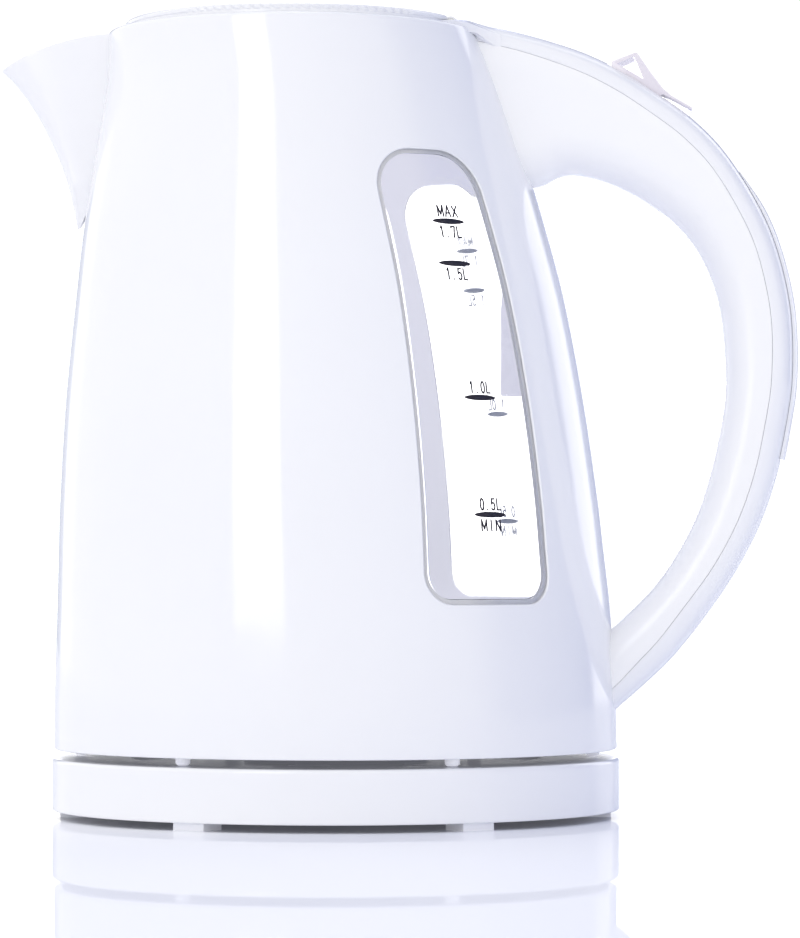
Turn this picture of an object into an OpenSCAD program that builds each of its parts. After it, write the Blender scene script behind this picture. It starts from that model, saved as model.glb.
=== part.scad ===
// Cordless electric kettle of about 1.7 litres on a 360 degree power base.
// Millimetres, +Z up. The handle points along +X and the spout along -X.
// The origin lies on the floor, below the middle of the whole object's box,
// so the swivel axis of kettle and base is a little to the -X side of it.

/* [Power base] */
// Outer radius of the power base
base_r = 79.4; // [79.2:0.1:82]
// Height of the base's top face above the floor
base_top_z = 16.8; // [16.2:0.1:17]
// Height of the base's lower rim above the floor
base_rim_z = 2.2; // [1.6:0.1:2.6]
// Number of feet under the base
base_foot_count = 6; // [3:1:8]
// Width of one foot of the base
base_foot_w = 9.5; // [7:0.5:12]
// Radius of the cord hole in the gland
cord_r = 3.6; // [3:0.1:4]

/* [Jug] */
// Wall thickness of the jug
wall = 2.5; // [2:0.1:2.6]
// Radius of the mouth under the lid
mouth_r = 43; // [42.9:0.1:43.2]
// Radius of the corner where the jug's wall turns into the rim
rim_round = 0.8; // [0.6:0.1:1.6]
// Number of facets around the jug
jug_seg = 72; // [48:4:80]

/* [Windows] */
// Direction of the middle of each window, measured from the handle
window_dir = 51; // [50:0.5:53]
// How far each window leans towards the spout at its ends, in degrees
window_sweep = 2.8; // [0:0.1:3.6]
// Half of the angle that a window spans
window_half = 15.4; // [12:0.2:16]
// Lower end of the windows
window_low = 60; // [59:0.5:64]
// Upper end of the windows
window_high = 182.7; // [175:0.1:184]
// Corner radius at the upper end
window_round_high = 12; // [8:0.5:13]
// Corner radius at the lower end
window_round_low = 8.5; // [6:0.5:12]

/* [Lid] */
// Outer radius of the lid
lid_r = 47.5; // [47.3:0.1:47.6]
// Height of the lid's top edge
lid_top_z = 223; // [222.8:0.1:223.2]
// Spacing of the grip ribs: how many would fit around the whole lid
lid_ribs = 108; // [60:4:120]
// Direction where the ribs begin on each side, measured from the handle
ribs_from = 42; // [30:1:60]
// Direction where the ribs end on each side, measured from the handle
ribs_to = 123; // [90:1:150]

/* [Handle] */
// Half width of the handle at its upper root
handle_half_top = 12.5; // [12:0.1:13]
// Half width of the handle at the grip
handle_half_mid = 12.5; // [12:0.1:13]
// Half width of the handle at its lower root
handle_half_low = 10.5; // [10:0.1:11.5]
// Wall thickness of the handle shells
handle_wall = 2.3; // [2:0.1:2.4]
// Depth of the outer cover, from the back to the seam
cover_depth = 6.3; // [6:0.1:6.8]
// How far the back strip stands proud of the cover
strip_proud = 1.1; // [0.8:0.1:1.2]

/* [Switch] */
// Width of the switch lever
lever_w = 14; // [13:0.2:14.2]
// Radius of the switch pin
pin_r = 1.0; // [0.9:0.05:1.1]
// Running clearance around pins
pin_gap = 0.05; // [0.03:0.01:0.08]

/* [Hidden] */
$fn = 96;

white = [0.95, 0.96, 0.98];
soft_white = [0.90, 0.91, 0.94];
grey = [0.62, 0.63, 0.66];
clear = [0.85, 0.90, 0.95, 0.4];
steel = [0.72, 0.73, 0.75];
brass = [0.80, 0.62, 0.28];

// Reach of the spout and of the handle from the swivel axis
spout_reach = 95;
handle_reach = 129.4;
axis_x = -(handle_reach - spout_reach) / 2;
e = 0.01;

// Jug profile seen from the side: height, left edge, right edge
jug = [[19.2, -78.8, 78.8], [32, -78.8, 78.6], [46, -78.5, 77.8], [60, -78.1, 76.8],
  [74, -77.8, 75.2], [88.8, -77.4, 73.5], [117, -75.8, 69.4], [145, -73.1, 64.1],
  [165, -70.9, 58.9], [184.4, -67.8, 53.1], [206.5, -64.4, 45.7], [220, -64.1, 40.4]];
rim_z = jug[len(jug) - 1][0];
foot_z = jug[0][0];

// Handle stations down its length: outer cover line (x, z), inner grip line (x, z)
grip = [[0, 38, 222.3, 56.6, 176.4], [1, 49, 220.2, 59.2, 177.4], [2, 59.4, 217.4, 62.6, 179.2],
  [3, 70.5, 213.6, 66.8, 179.8], [4, 81, 208.4, 73.2, 178.6], [5, 91, 202, 80.6, 175.8],
  [6, 100.3, 195.1, 88, 171.5], [7, 108.5, 186.7, 95.4, 165.8], [8, 116, 175.6, 101.2, 158.6],
  [9, 122, 163.8, 105.4, 150], [10, 126, 150.7, 107.9, 141], [11, 128, 137.8, 109, 131],
  [12, 128.1, 121.7, 109.3, 119.5], [13, 126.2, 108.3, 107.9, 108.5], [14, 123.4, 95.2, 105.2, 96.5],
  [15, 118.7, 81.5, 101.3, 84.5], [16, 112, 68.6, 95.5, 73.3], [17, 103.8, 56.5, 89.9, 65.2],
  [18, 94.6, 44.9, 84.3, 59.2], [19, 86.6, 37.2, 80.3, 55.4], [20, 79.6, 31, 77.8, 53]];

// ---- curves through tables -------------------------------------------------
function seg(t, x, i = 0) = i >= len(t) - 2 || x < t[i + 1][0] ? i : seg(t, x, i + 1);
function slope(t, c, i) = i == 0 ? (t[1][c] - t[0][c]) / (t[1][0] - t[0][0])
  : i == len(t) - 1 ? (t[i][c] - t[i - 1][c]) / (t[i][0] - t[i - 1][0])
  : (t[i + 1][c] - t[i - 1][c]) / (t[i + 1][0] - t[i - 1][0]);
function cub(t, c, x) = let (i = seg(t, x), d = t[i + 1][0] - t[i][0], s = (x - t[i][0]) / d,
  a = t[i][c], b = t[i + 1][c], m = slope(t, c, i) * d, n = slope(t, c, i + 1) * d)
  a * (2 * s * s * s - 3 * s * s + 1) + m * (s * s * s - 2 * s * s + s)
  + b * (3 * s * s - 2 * s * s * s) + n * (s * s * s - s * s);
function mix(a, b, t) = a + (b - a) * t;
function clip(x, a, b) = min(max(x, a), b);
function ease(x) = let (t = clip(x, 0, 1)) t * t * (3 - 2 * t);

// Centre and radius of the jug's outside at height z
function jc(z) = (cub(jug, 1, z) + cub(jug, 2, z)) / 2;
function jr(z) = (cub(jug, 2, z) - cub(jug, 1, z)) / 2;
// Point on the jug at angle f, height z, moved outward by o
function jp(f, z, o) = [jc(z) + (jr(z) + o) * cos(f), (jr(z) + o) * sin(f), z];
// Where the jug's surface, moved outward by o, meets the side coordinate y: handle side, spout side
function wall_px(y, z, o) = jc(z) + sqrt((jr(z) + o) * (jr(z) + o) - y * y);
function wall_nx(y, z, o) = jc(z) - sqrt((jr(z) + o) * (jr(z) + o) - y * y);

// ---- solids from point grids -----------------------------------------------
// Closed solid between two like grids of points: p is the outer skin, q the inner one
module skin(p, q) {
  n = len(p);
  m = len(p[0]);
  function id(s, i, j) = s * n * m + i * m + j;
  function two(a, b, c, d) = [[a, b, c], [a, c, d]];
  polyhedron(points = [for (g = [p, q]) for (r = g) for (v = r) v],
    faces = [for (f = concat(
      [for (i = [0:n - 2], j = [0:m - 2]) two(id(0, i, j), id(0, i, j + 1), id(0, i + 1, j + 1), id(0, i + 1, j))],
      [for (i = [0:n - 2], j = [0:m - 2]) two(id(1, i, j), id(1, i + 1, j), id(1, i + 1, j + 1), id(1, i, j + 1))],
      [for (j = [0:m - 2]) two(id(0, 0, j + 1), id(0, 0, j), id(1, 0, j), id(1, 0, j + 1))],
      [for (j = [0:m - 2]) two(id(0, n - 1, j), id(0, n - 1, j + 1), id(1, n - 1, j + 1), id(1, n - 1, j))],
      [for (i = [0:n - 2]) two(id(0, i, 0), id(0, i + 1, 0), id(1, i + 1, 0), id(1, i, 0))],
      [for (i = [0:n - 2]) two(id(0, i + 1, m - 1), id(0, i, m - 1), id(1, i, m - 1), id(1, i + 1, m - 1))]
    )) for (t = f) t], convexity = 8);
}
// Ring swept from a profile of [radius, height, centre x]
module ring(prof, n) {
  k = len(prof);
  polyhedron(points = [for (v = prof) for (a = [0:n - 1]) [v[2] + v[0] * cos(a * 360 / n), v[0] * sin(a * 360 / n), v[1]]],
    faces = [for (i = [0:k - 1], j = [0:n - 1]) let (i2 = (i + 1) % k, j2 = (j + 1) % n)
      for (t = [[i * n + j, i2 * n + j, i2 * n + j2], [i * n + j, i2 * n + j2, i * n + j2]]) t], convexity = 10);
}
// Round rod of n sides along a path in the XZ plane, at side offset y
module rod(path, r, y, n = 8) {
  k = len(path);
  function dir(i) = let (a = path[max(i - 1, 0)], b = path[min(i + 1, k - 1)], d = b - a) d / norm(d);
  pts = [for (i = [0:k - 1]) let (d = dir(i)) for (a = [0:n - 1])
    [path[i][0] - d[1] * r * cos(a * 360 / n), y + r * sin(a * 360 / n), path[i][1] + d[0] * r * cos(a * 360 / n)]];
  polyhedron(points = pts, faces = concat(
    [for (i = [0:k - 2], j = [0:n - 1]) for (t = [[i * n + j, i * n + (j + 1) % n, (i + 1) * n + (j + 1) % n],
      [i * n + j, (i + 1) * n + (j + 1) % n, (i + 1) * n + j]]) t],
    [[for (j = [n - 1:-1:0]) j], [for (j = [0:n - 1]) (k - 1) * n + j]]), convexity = 6);
}
// Puts a piece drawn around the swivel axis into the object's frame
module place() { translate([axis_x, 0, 0]) children(); }
// Repeats a piece n times around an axis, from angle a0
module around(n, r, a0 = 0) { for (i = [0:n - 1]) rotate([0, 0, a0 + i * 360 / n]) translate([r, 0, 0]) children(); }
// Plain screw: head down at z = 0, shaft upward
module screw(r, head_r, head_h, l) { cylinder(r = head_r, h = head_h); translate([0, 0, head_h - e]) cylinder(r = r, h = l - head_h + e); }

// ---- power base --------------------------------------------------------------
gland_z = 8.2;
module base_top() color(white) place() {
  t = base_top_z;
  difference() {
    union() {
      difference() {
        rotate_extrude() difference() {
          union() {
            polygon([[18.2, t - 4], [18.2, t + 0.2], [24.5, t + 0.2], [26, t - 1.2], [56, t - 1.2], [58, t],
              [base_r - 1, t], [base_r - 1, t - 1], [base_r, t - 1], [base_r, base_rim_z + 0.5], [base_r - 0.5, base_rim_z],
              [base_r - 2.2, base_rim_z], [base_r - 2.2, t - 3.8], [base_r - 3.8, t - 2.2], [59, t - 2.2], [57, t - 3.4],
              [27, t - 3.4], [26, t - 2.4], [20.4, t - 2.4], [20.4, t - 4]]);
            translate([base_r - 1, t - 1]) circle(r = 1);
          }
          translate([0, -20]) square([18.2 - e, 60]);
        }
        // notch for the cord gland at the back
        translate([-6.6, base_r - 8, base_rim_z - 1]) cube([13.2, 12, gland_z + 6.1 - base_rim_z + 1]);
      }
      around(3, 60, 30) translate([0, 0, 4.7]) cylinder(r = 4, h = t - 1.6 - 4.7);
    }
    around(3, 60, 30) translate([0, 0, 4]) cylinder(r = 1.35, h = 7.5);
  }
}
module base_bottom() color(soft_white) place() difference() {
  union() {
    translate([0, 0, 2.6]) cylinder(r = base_r - 2.4, h = 2);
    translate([0, 0, 4.6 - e]) difference() { cylinder(r = 26.5, h = 4); translate([0, 0, -1]) cylinder(r = 24.5, h = 7); }
  }
  around(3, 60, 30) { translate([0, 0, 2]) cylinder(r = 3.1, h = 1.6); translate([0, 0, 2]) cylinder(r = 1.6, h = 4); }
  translate([-6.8, base_r - 14.6, 2]) cube([13.6, 20, 4]);
}
module base_feet() color([0.88, 0.89, 0.92]) place() for (i = [0:base_foot_count - 1])
  rotate([0, 0, -86 + 30 + i * 360 / base_foot_count]) translate([base_r - 11.4, -base_foot_w / 2, 0]) cube([9, base_foot_w, 2.6]);
module base_socket() color(white) place() rotate_extrude() polygon([[0, 4.7], [24, 4.7], [24, 6.7], [17.6, 6.7],
  [17.6, 29.8], [16.4, 31], [15.1, 31], [15.1, 19], [12.4, 19], [12.4, 31], [10.6, 31], [10.6, 14],
  [7.4, 14], [7.4, 31], [3.4, 31], [3.4, 14], [0, 14]]);
module base_contacts() color(brass) place() for (c = [[2.7, 3.3, 14, 26], [7.5, 8.0, 14, 26], [14.5, 15.0, 19, 28]])
  rotate_extrude() translate([c[0], c[2]]) square([c[1] - c[0], c[3] - c[2]]);
module base_screws() color(steel) place() around(3, 60, 30) translate([0, 0, 2.7]) screw(1.3, 2.9, 0.9, 7.6);
module cord_gland() color(white) place() difference() {
  union() {
    translate([-6.4, base_r - 7, base_rim_z + 0.4]) cube([12.8, 6.6, gland_z + 5.9 - base_rim_z - 0.4]);
    translate([0, base_r - 13, gland_z]) rotate([-90, 0, 0]) cylinder(r = 5.4, h = 6.5);
    translate([-7.6, base_r - 4.2 - 4.2, 5.2]) cube([15.2, 1.6, 8.4]);
  }
  translate([0, base_r - 20, gland_z]) rotate([-90, 0, 0]) cylinder(r = cord_r, h = 30);
}
module cord_clamp() color(soft_white) place() translate([0, base_r - 21, 0]) {
  difference() {
    translate([-10, 0, 4.6]) cube([20, 5, 7.6]);
    translate([0, -1, 8.2]) rotate([-90, 0, 0]) cylinder(r = cord_r - 0.2, h = 7);
  }
}

// ---- 360 degree connector of the kettle ---------------------------------------
module connector_housing() color(soft_white) place() difference() {
  rotate_extrude() polygon([[0, 31.8], [19.2, 31.8], [19.2, 20.4], [21.4, 20.4], [21.4, 31.4], [23, 32.6], [23, 36.5],
    [10, 36.5], [10, 38], [0, 38]]);
  translate([0, 0, 31]) cylinder(r = 2.05, h = 2.6);
  for (c = [[8.75, 9.35], [13.3, 13.9]]) translate([0, 0, 31]) difference() { cylinder(r = c[1], h = 2.6); translate([0, 0, -1]) cylinder(r = c[0], h = 5); }
}
module connector_pins() color(brass) place() {
  translate([0, 0, 16]) cylinder(r = 2, h = 17.4);
  translate([0, 0, 16]) difference() { cylinder(r = 9.3, h = 17.4); translate([0, 0, -1]) cylinder(r = 8.8, h = 20); }
  translate([0, 0, 21]) difference() { cylinder(r = 13.85, h = 12.4); translate([0, 0, -1]) cylinder(r = 13.35, h = 20); }
}

// ---- jug -----------------------------------------------------------------------
lid_x = jc(rim_z);
hinge_x = 33.2;
hinge_z = 221;
jug_zs = [19.7, 26, 32, 46, 60, 74, 88.8, 103, 117, 131, 145, 155, 165, 175, 184.4, 192, 199, 206.5, 213];
inner_zs = [213, 206.5, 199, 192, 184.4, 175, 165, 155, 145, 131, 117, 103, 88.8, 81, 74, 67, 60];
// The jug is one moulding, drawn as four rings that meet face to face: the skirt round the dry space,
// the wall with the windows, the top with the pouring slot, and the rim that carries the lid
skirt_top = 58;
rim_low = 184.4;
module body_skirt() color(white) place() difference() {
  ring(concat([[jr(foot_z) - 0.6, foot_z, 0]],
    [for (z = jug_zs) if (z < skirt_top) [jr(z), z, jc(z)]], [[jr(skirt_top), skirt_top, jc(skirt_top)]],
    [[68, 58, jc(58)], [68, 56, jc(56)], [jr(56) - wall, 56, jc(56)],
     [jr(46) - wall, 46, jc(46)], [jr(32) - wall, 32, jc(32)], [jr(foot_z) - wall, foot_z, 0]]), jug_seg);
  // wire hole into the dry space under the heater
  translate([70, 0, 40]) rotate([0, 90, 0]) cylinder(r = 3.5, h = 14);
  // pilot holes of the clamp ring's screws
  around(4, 72.4, 45) translate([0, 0, 55]) cylinder(r = 1.25, h = 2.4);
}
module body_shell() color(white) place() difference() {
  ring(concat([[jr(skirt_top), skirt_top, jc(skirt_top)]],
    [for (z = jug_zs) if (z > skirt_top && z <= rim_low) [jr(z), z, jc(z)]],
    [for (z = inner_zs) if (z <= rim_low) [jr(z) - wall, z, jc(z)]],
    [[jr(skirt_top) - wall, skirt_top, jc(skirt_top)]]), jug_seg);
  for (s = [-1, 1]) window_plug(s, 0, 6, -8);
}
module body_top() color(white) place() difference() {
  ring(concat([for (z = jug_zs) if (z >= rim_low) [jr(z), z, jc(z)]], [[jr(rim_z - 3.5), rim_z - 3.5, jc(rim_z - 3.5)]],
    [[jr(rim_z - 3.5) - wall, rim_z - 3.5, jc(rim_z - 3.5)]],
    [for (z = inner_zs) if (z >= rim_low) [jr(z) - wall, z, jc(z)]]), jug_seg);
  // pouring slot behind the spout
  translate([-85, -7.5, 192.4]) cube([30, 15, 19.6]);
  translate([-85, 0, 192.4]) rotate([0, 90, 0]) cylinder(r = 7.5, h = 30);
  // steam hole from the top of the duct into the handle
  translate([44, 0, 189]) rotate([0, 90, 0]) cylinder(r = 3, h = 14);
}
module body_rim() color(white) place() difference() {
  ring(concat([[jr(rim_z - 3.5), rim_z - 3.5, jc(rim_z - 3.5)]],
    [for (a = [0, 30, 60, 90]) let (z = rim_z - rim_round * (1 - sin(a))) [jr(z) - rim_round * (1 - cos(a)), z, jc(z)]],
    [[mouth_r + 0.4, rim_z, lid_x], [mouth_r, rim_z - 0.4, lid_x], [mouth_r, rim_z - 3.5, lid_x]]), jug_seg);
  // recess for the lid hinge
  translate([29.4, -18.2, 217.8]) cube([7.2, 36.4, 6]);
}
// Half of the window's angle, in degrees, at height z for an outline grown by g
function win_rows(g) = let (z0 = window_low - g, z1 = window_high + g, rl = window_round_low + g, rh = window_round_high + g)
  concat([for (a = [0:18:90]) [z0 + rl * (1 - cos(a)), rl * (1 - sin(a))]],
    [for (k = [1:7]) [mix(z0 + rl, z1 - rh, k / 8), 0]],
    [for (a = [90:-18:0]) [z1 - rh * (1 - cos(a)), rh * (1 - sin(a))]]);
function win_grid(s, g, o) = [for (r = win_rows(g)) let (z = r[0], w = window_half + (g - r[1]) / jr(z) * 57.2958)
  [for (j = [0:6]) jp(s * (window_dir + window_sweep * pow((z - 98) / 72, 2) + w * (j / 3 - 1)), z, o)]];
module window_plug(s, g, oo, oi) { if (s > 0) skin(win_grid(s, g, oi), win_grid(s, g, oo)); else skin(win_grid(s, g, oo), win_grid(s, g, oi)); }
module window_panel(s) {
  window_plug(s, -0.15, -0.5, -wall - 0.75);
  window_plug(s, 1.7, -wall - 0.15, -wall - 1.35);
}
module window_left() color(clear) place() window_panel(1);
module window_right() color(clear) place() window_panel(-1);

// ---- spout ---------------------------------------------------------------------
// Front line of the spout, from its lower end up to the tip: step, x, z
nose = [[0, -72.6, 165.4], [1, -75.5, 176.1], [2, -78.5, 184.9], [3, -82.7, 194], [4, -87, 201.1], [5, -91, 206.3], [6, -95, 210.3]];
function spout_pt(v, t, w) = let (nx = cub(nose, 1, v * 6) + w, nz = cub(nose, 2, v * 6), hh = 1.2 + 11.3 * pow(v, 0.7), h = hh - w,
  q = abs(t), rn = min(3.4, 0.75 * hh) - w * 0.9, zr = mix(165.8, 219.2, pow(v, 0.92)), y = sign(t) * (rn * sin(90 * min(1, q * 2.5)) + (h - rn) * pow(q, 2.3)),
  u = pow(q, 1.5), z = mix(nz, zr, 1 - pow(1 - u, 2.2)), xr = wall_nx(sign(t) * h, zr, 0.1)) [q >= 1 ? wall_nx(y, z, 0.1) : mix(nx, xr, u), y, z];
module spout() color(white) place() skin(
  [for (i = [0:14]) [for (j = [-10:10]) spout_pt(i / 14, j / 10, 0)]],
  [for (i = [0:14]) [for (j = [-10:10]) spout_pt(mix(0.1, 1, i / 14), j / 10, 2.1)]]);

// ---- underside and heater ----------------------------------------------------------
module bottom_cover() color(soft_white) place() difference() {
  translate([0, 0, foot_z]) cylinder(r = jr(foot_z) - wall - 0.3, h = 2.2);
  translate([0, 0, 10]) cylinder(r = 24.2, h = 30);
  around(3, 66, 30) { translate([0, 0, 19]) cylinder(r = 3.2, h = 1.1); translate([0, 0, 18]) cylinder(r = 1.7, h = 6); }
}
module kettle_feet() color([0.86, 0.87, 0.90]) place() around(6, 72, 0) translate([0, 0, 17.1]) {
  translate([0, 0, 0.6]) cylinder(r = 2, h = 1.5);
  cylinder(r1 = 1.4, r2 = 2, h = 0.6 + e);
}
module bottom_screws() color(steel) place() around(3, 66, 30) translate([0, 0, 19.3]) screw(1.4, 3, 0.8, 13);
module clamp_ring() color(soft_white) place() difference() {
  union() {
    rotate_extrude() translate([66, 50.4]) square([8.3, 3]);
    around(3, 66, 30) translate([0, 0, 21.5]) cylinder(r = 4, h = 29);
  }
  around(3, 66, 30) translate([0, 0, 20]) cylinder(r = 1.45, h = 14);
  around(4, 72.4, 45) translate([0, 0, 49]) cylinder(r = 1.3, h = 6);
}
module clamp_screws() color(steel) place() around(4, 72.4, 45) translate([0, 0, 49.5]) screw(1.2, 2.2, 0.9, 7.6);
module heater_plate() color(steel) place() rotate_extrude() polygon([[0, 55.2], [64, 55.2], [65, 54.2], [70.9, 54.2], [70.9, 53.4],
  [64.6, 53.4], [63.6, 54.4], [0, 54.4]]);
module heater_seal() color(grey) place() rotate_extrude() polygon([[68.2, 54.2], [70.8, 54.2], [70.8, 55.95], [68.2, 55.95]]);
module heat_spreader() color([0.80, 0.81, 0.83]) place() rotate_extrude() polygon([[0, 51.4], [52, 51.4], [53, 52.4], [53, 54.4], [0, 54.4]]);
module heating_element() color([0.45, 0.45, 0.47]) place() {
  rotate([0, 0, 40]) rotate_extrude(angle = 280) translate([43, 48.2]) circle(r = 3.2);
  for (a = [40, 320]) rotate([0, 0, a]) translate([43, 0, 38]) cylinder(r = 1.6, h = 10.2);
}
module thermostat_control() color([0.25, 0.25, 0.27]) place() difference() {
  union() {
    translate([0, 0, 31.6]) cylinder(r = 32, h = 14.4);
    for (s = [-1, 1]) translate([16 * s, 0, 45]) cylinder(r = 9.6, h = 5);
    around(3, 36, 90) { translate([0, 0, 40]) cylinder(r = 4.5, h = 4); translate([-6, -4, 40]) cube([6, 8, 4]); }
  }
  translate([0, 0, 30]) cylinder(r = 23.8, h = 7.5);
  translate([0, 0, 30]) cylinder(r = 10.8, h = 8.8);
  around(3, 36, 90) translate([0, 0, 38]) cylinder(r = 1.7, h = 8);
}
module bimetal_discs() color(brass) place() for (s = [-1, 1]) translate([16 * s, 0, 50.2]) cylinder(r = 9, h = 0.8);
module control_screws() color(steel) place() around(3, 36, 90) translate([0, 0, 38.9]) screw(1.5, 2.8, 1, 12.4);
function duct_grid(w) = [for (i = [0:7]) let (z = mix(118, 197, i / 7), h = 8 - w, x = 46.5 + w, o = -wall - 0.15)
  [[wall_px(h, z, o), h, z], [min(x, wall_px(h, z, o) - 0.3), h, z], [min(x, wall_px(h, z, o) - 0.3), -h, z], [wall_px(h, z, o), -h, z]]];
module steam_duct() color(grey) place() skin(duct_grid(1.6), duct_grid(0));

// ---- spout filter --------------------------------------------------------------------
module at_filter() place() translate([-64.8, 0, 178]) rotate([0, 8.3, 0]) children();
module filter_frame() color(white) at_filter() difference() {
  translate([0.1, -11, 0]) cube([3.9, 22, 34]);
  translate([-2, -9.4, -1]) cube([4.4, 18.8, 40]);
  for (k = [0, 1]) translate([1, -8, 2 + k * 15.5]) cube([5, 16, 14.5]);
}
module filter_mesh() color([0.8, 0.82, 0.85]) at_filter() translate([4, -9, 1]) cube([0.4, 18, 32]);

// ---- handle -----------------------------------------------------------------------------
function h_half(t) = t < 8 ? mix(handle_half_top, handle_half_mid, ease(t / 8)) : mix(handle_half_mid, handle_half_low, ease((t - 8) / 12));
function g_o(t) = [cub(grip, 1, t), cub(grip, 2, t)];
function g_i(t) = [cub(grip, 3, t), cub(grip, 4, t)];
// Half width at distance d from the inner edge of a section of depth l
function h_w(t, d, l) = let (ri = min(l / 2, 11), ro = min(l / 2, 8), qi = 1 - clip(d / ri, 0, 1), qo = 1 - clip((l - d) / ro, 0, 1))
  h_half(t) * min(pow(max(0, 1 - pow(qi, 2.2)), 1 / 2.2), pow(max(0, 1 - pow(qo, 3)), 1 / 3));
// Point of the handle at station t, depth d from the inner edge, side s, pulled in by w
function h_pt(t, d, s, w) = let (o = g_o(t), i = g_i(t), l = norm(o - i), u = (o - i) / l, c = i + u * d,
  y = s * max(0, h_w(t, d, l) - w)) [c[0], y, c[1]];
function off_wall(p, g, hug) = let (x = wall_px(p[1], p[2], g)) [hug ? x : max(p[0], x), p[1], p[2]];
// Stations of the handle's sections, shared by both shells so that their seam fits
handle_n = 32;
function h_t(k) = k * 20 / handle_n;
function inner_row(t, w, hug) = let (l = norm(g_o(t) - g_i(t)), ls = l - cover_depth - 0.3, ri = min(l / 2, 11),
  ds = concat([ls, mix(ls, ri, 0.5)], [for (a = [75:-15:15]) ri * (1 - pow(cos(a), 1 / 1.1))]))
  [for (p = concat([for (d = ds) h_pt(t, d == ls ? d : d + w, 1, w)], [let (q = h_pt(t, w, 0, 0)) q], [for (k = [len(ds) - 1:-1:0]) h_pt(t, ds[k] == ls ? ls : ds[k] + w, -1, w)]))
    off_wall(p, 0.15, hug)];
module handle_inner() color(white) place() skin(
  [for (k = [0:handle_n]) inner_row(h_t(k), 0, k == 0 || k == handle_n)],
  [for (k = [0:handle_n]) inner_row(h_t(k), handle_wall, k == 0 || k == handle_n)]);

function cover_row(t, w, hug) = let (l = norm(g_o(t) - g_i(t)), ro = min(l / 2, 8),
  ds = concat([cover_depth, cover_depth * 0.7], [for (a = [75:-15:15]) ro * (1 - pow(cos(a), 2 / 3)) * 0.6]))
  [for (p = concat([for (d = ds) h_pt(t, l - max(d, w) , 1, w)], [h_pt(t, l - w, 0, 0)], [for (k = [len(ds) - 1:-1:0]) h_pt(t, l - max(ds[k], w), -1, w)]))
    off_wall(p, 0.15, hug)];
// Front tongue of the cover, which lies on the rim behind the lid: f runs from the lid's arc (0) back into the cover (1)
function tongue_row(f, low) = let (m = 6, hw = handle_half_top - 0.1 + 10.4 * pow(1 - f, 1.9))
  [for (j = [-m:m]) let (s = j / m, y = hw * s, x = mix(lid_x + sqrt(48.4 * 48.4 - y * y), 47, f),
    top = 222.3 - 0.19 * max(0, x - 38) - 0.9 * pow(abs(s), 5) - 0.5 * pow(1 - f, 12))
    [x, y, low ? min(rim_z + 0.15, top - 0.6) : top]];
module handle_cover() color(white) place() {
  difference() {
    skin([for (k = [0:handle_n]) cover_row(h_t(k), handle_wall, k == 0 || k == handle_n)],
      [for (k = [0:handle_n]) cover_row(h_t(k), 0, k == 0 || k == handle_n)]);
    at_switch() translate([-15.6, -lever_w / 2 - 0.5, 0]) cube([18.8, lever_w + 1, 12]);
  }
  difference() {
    skin([for (k = [0:8]) tongue_row(k / 8, false)], [for (k = [0:8]) tongue_row(k / 8, true)]);
    translate([30, -17.5, 218]) cube([5.5, 35, 6]);
  }
}
strip_t0 = 7.3;
strip_t1 = 13.65;
function strip_row(t, up) = let (l = norm(g_o(t) - g_i(t)), h = h_half(t), p = strip_proud * ease((t - strip_t0) / 1.4) * up)
  [for (j = [-4:4]) let (y = j / 4 * 6.4, d = 8 * (1 - pow(1 - pow(abs(y) / h, 3), 1 / 3)), q = h_pt(t, l - d + 0.1 + p * (1 - pow(abs(j) / 4, 4) * 0.25), 0, 0)) [q[0], y, q[2]]];
module handle_strip() color(white) place() skin([for (k = [0:14]) strip_row(mix(strip_t0 + 0.3, strip_t1, k / 14), 1)],
  [for (k = [0:14]) strip_row(mix(strip_t0 + 0.3, strip_t1, k / 14), 0)]);
module handle_wires() color([0.75, 0.2, 0.15]) place() for (s = [-1, 1])
  rod(concat([[91.8, 185.2]], [for (t = [6.5:0.85:18.4]) mix(g_i(t), g_o(t), 0.42)], [[84, 45], [80, 41.5], [74, 40], [60, 39.2], [45, 38.6], [32.6, 38.4]]), 1.0, 1.6 * s);

// ---- switch ---------------------------------------------------------------------------------
switch_tilt = 34;
sw_x = 87.1;
sw_z = 198.9;
module at_switch() translate([sw_x, 0, sw_z]) rotate([0, switch_tilt, 0]) children();
module across(w) { rotate([90, 0, 0]) translate([0, 0, -w / 2]) linear_extrude(height = w) children(); }
module switch_housing() color(soft_white) place() at_switch() difference() {
  union() {
    translate([-14, -9.2, -13]) cube([25, 18.4, 9.6]);
    for (s = [-1, 1]) translate([0, s * 8.5, 0]) {
      translate([-1.5, -0.6, -3.6]) cube([3, 1.2, 3.6]);
      rotate([90, 0, 0]) translate([0, 0, -0.6]) cylinder(r = 1.5, h = 1.2);
    }
  }
  translate([0, 10, 0]) rotate([90, 0, 0]) cylinder(r = pin_r + pin_gap, h = 20);
  translate([-12.4, -7.6, -11.4]) cube([21.8, 15.2, 12]);
}
module switch_pin() color(steel) place() at_switch() translate([0, 9, 0]) rotate([90, 0, 0]) cylinder(r = pin_r, h = 18);
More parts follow.
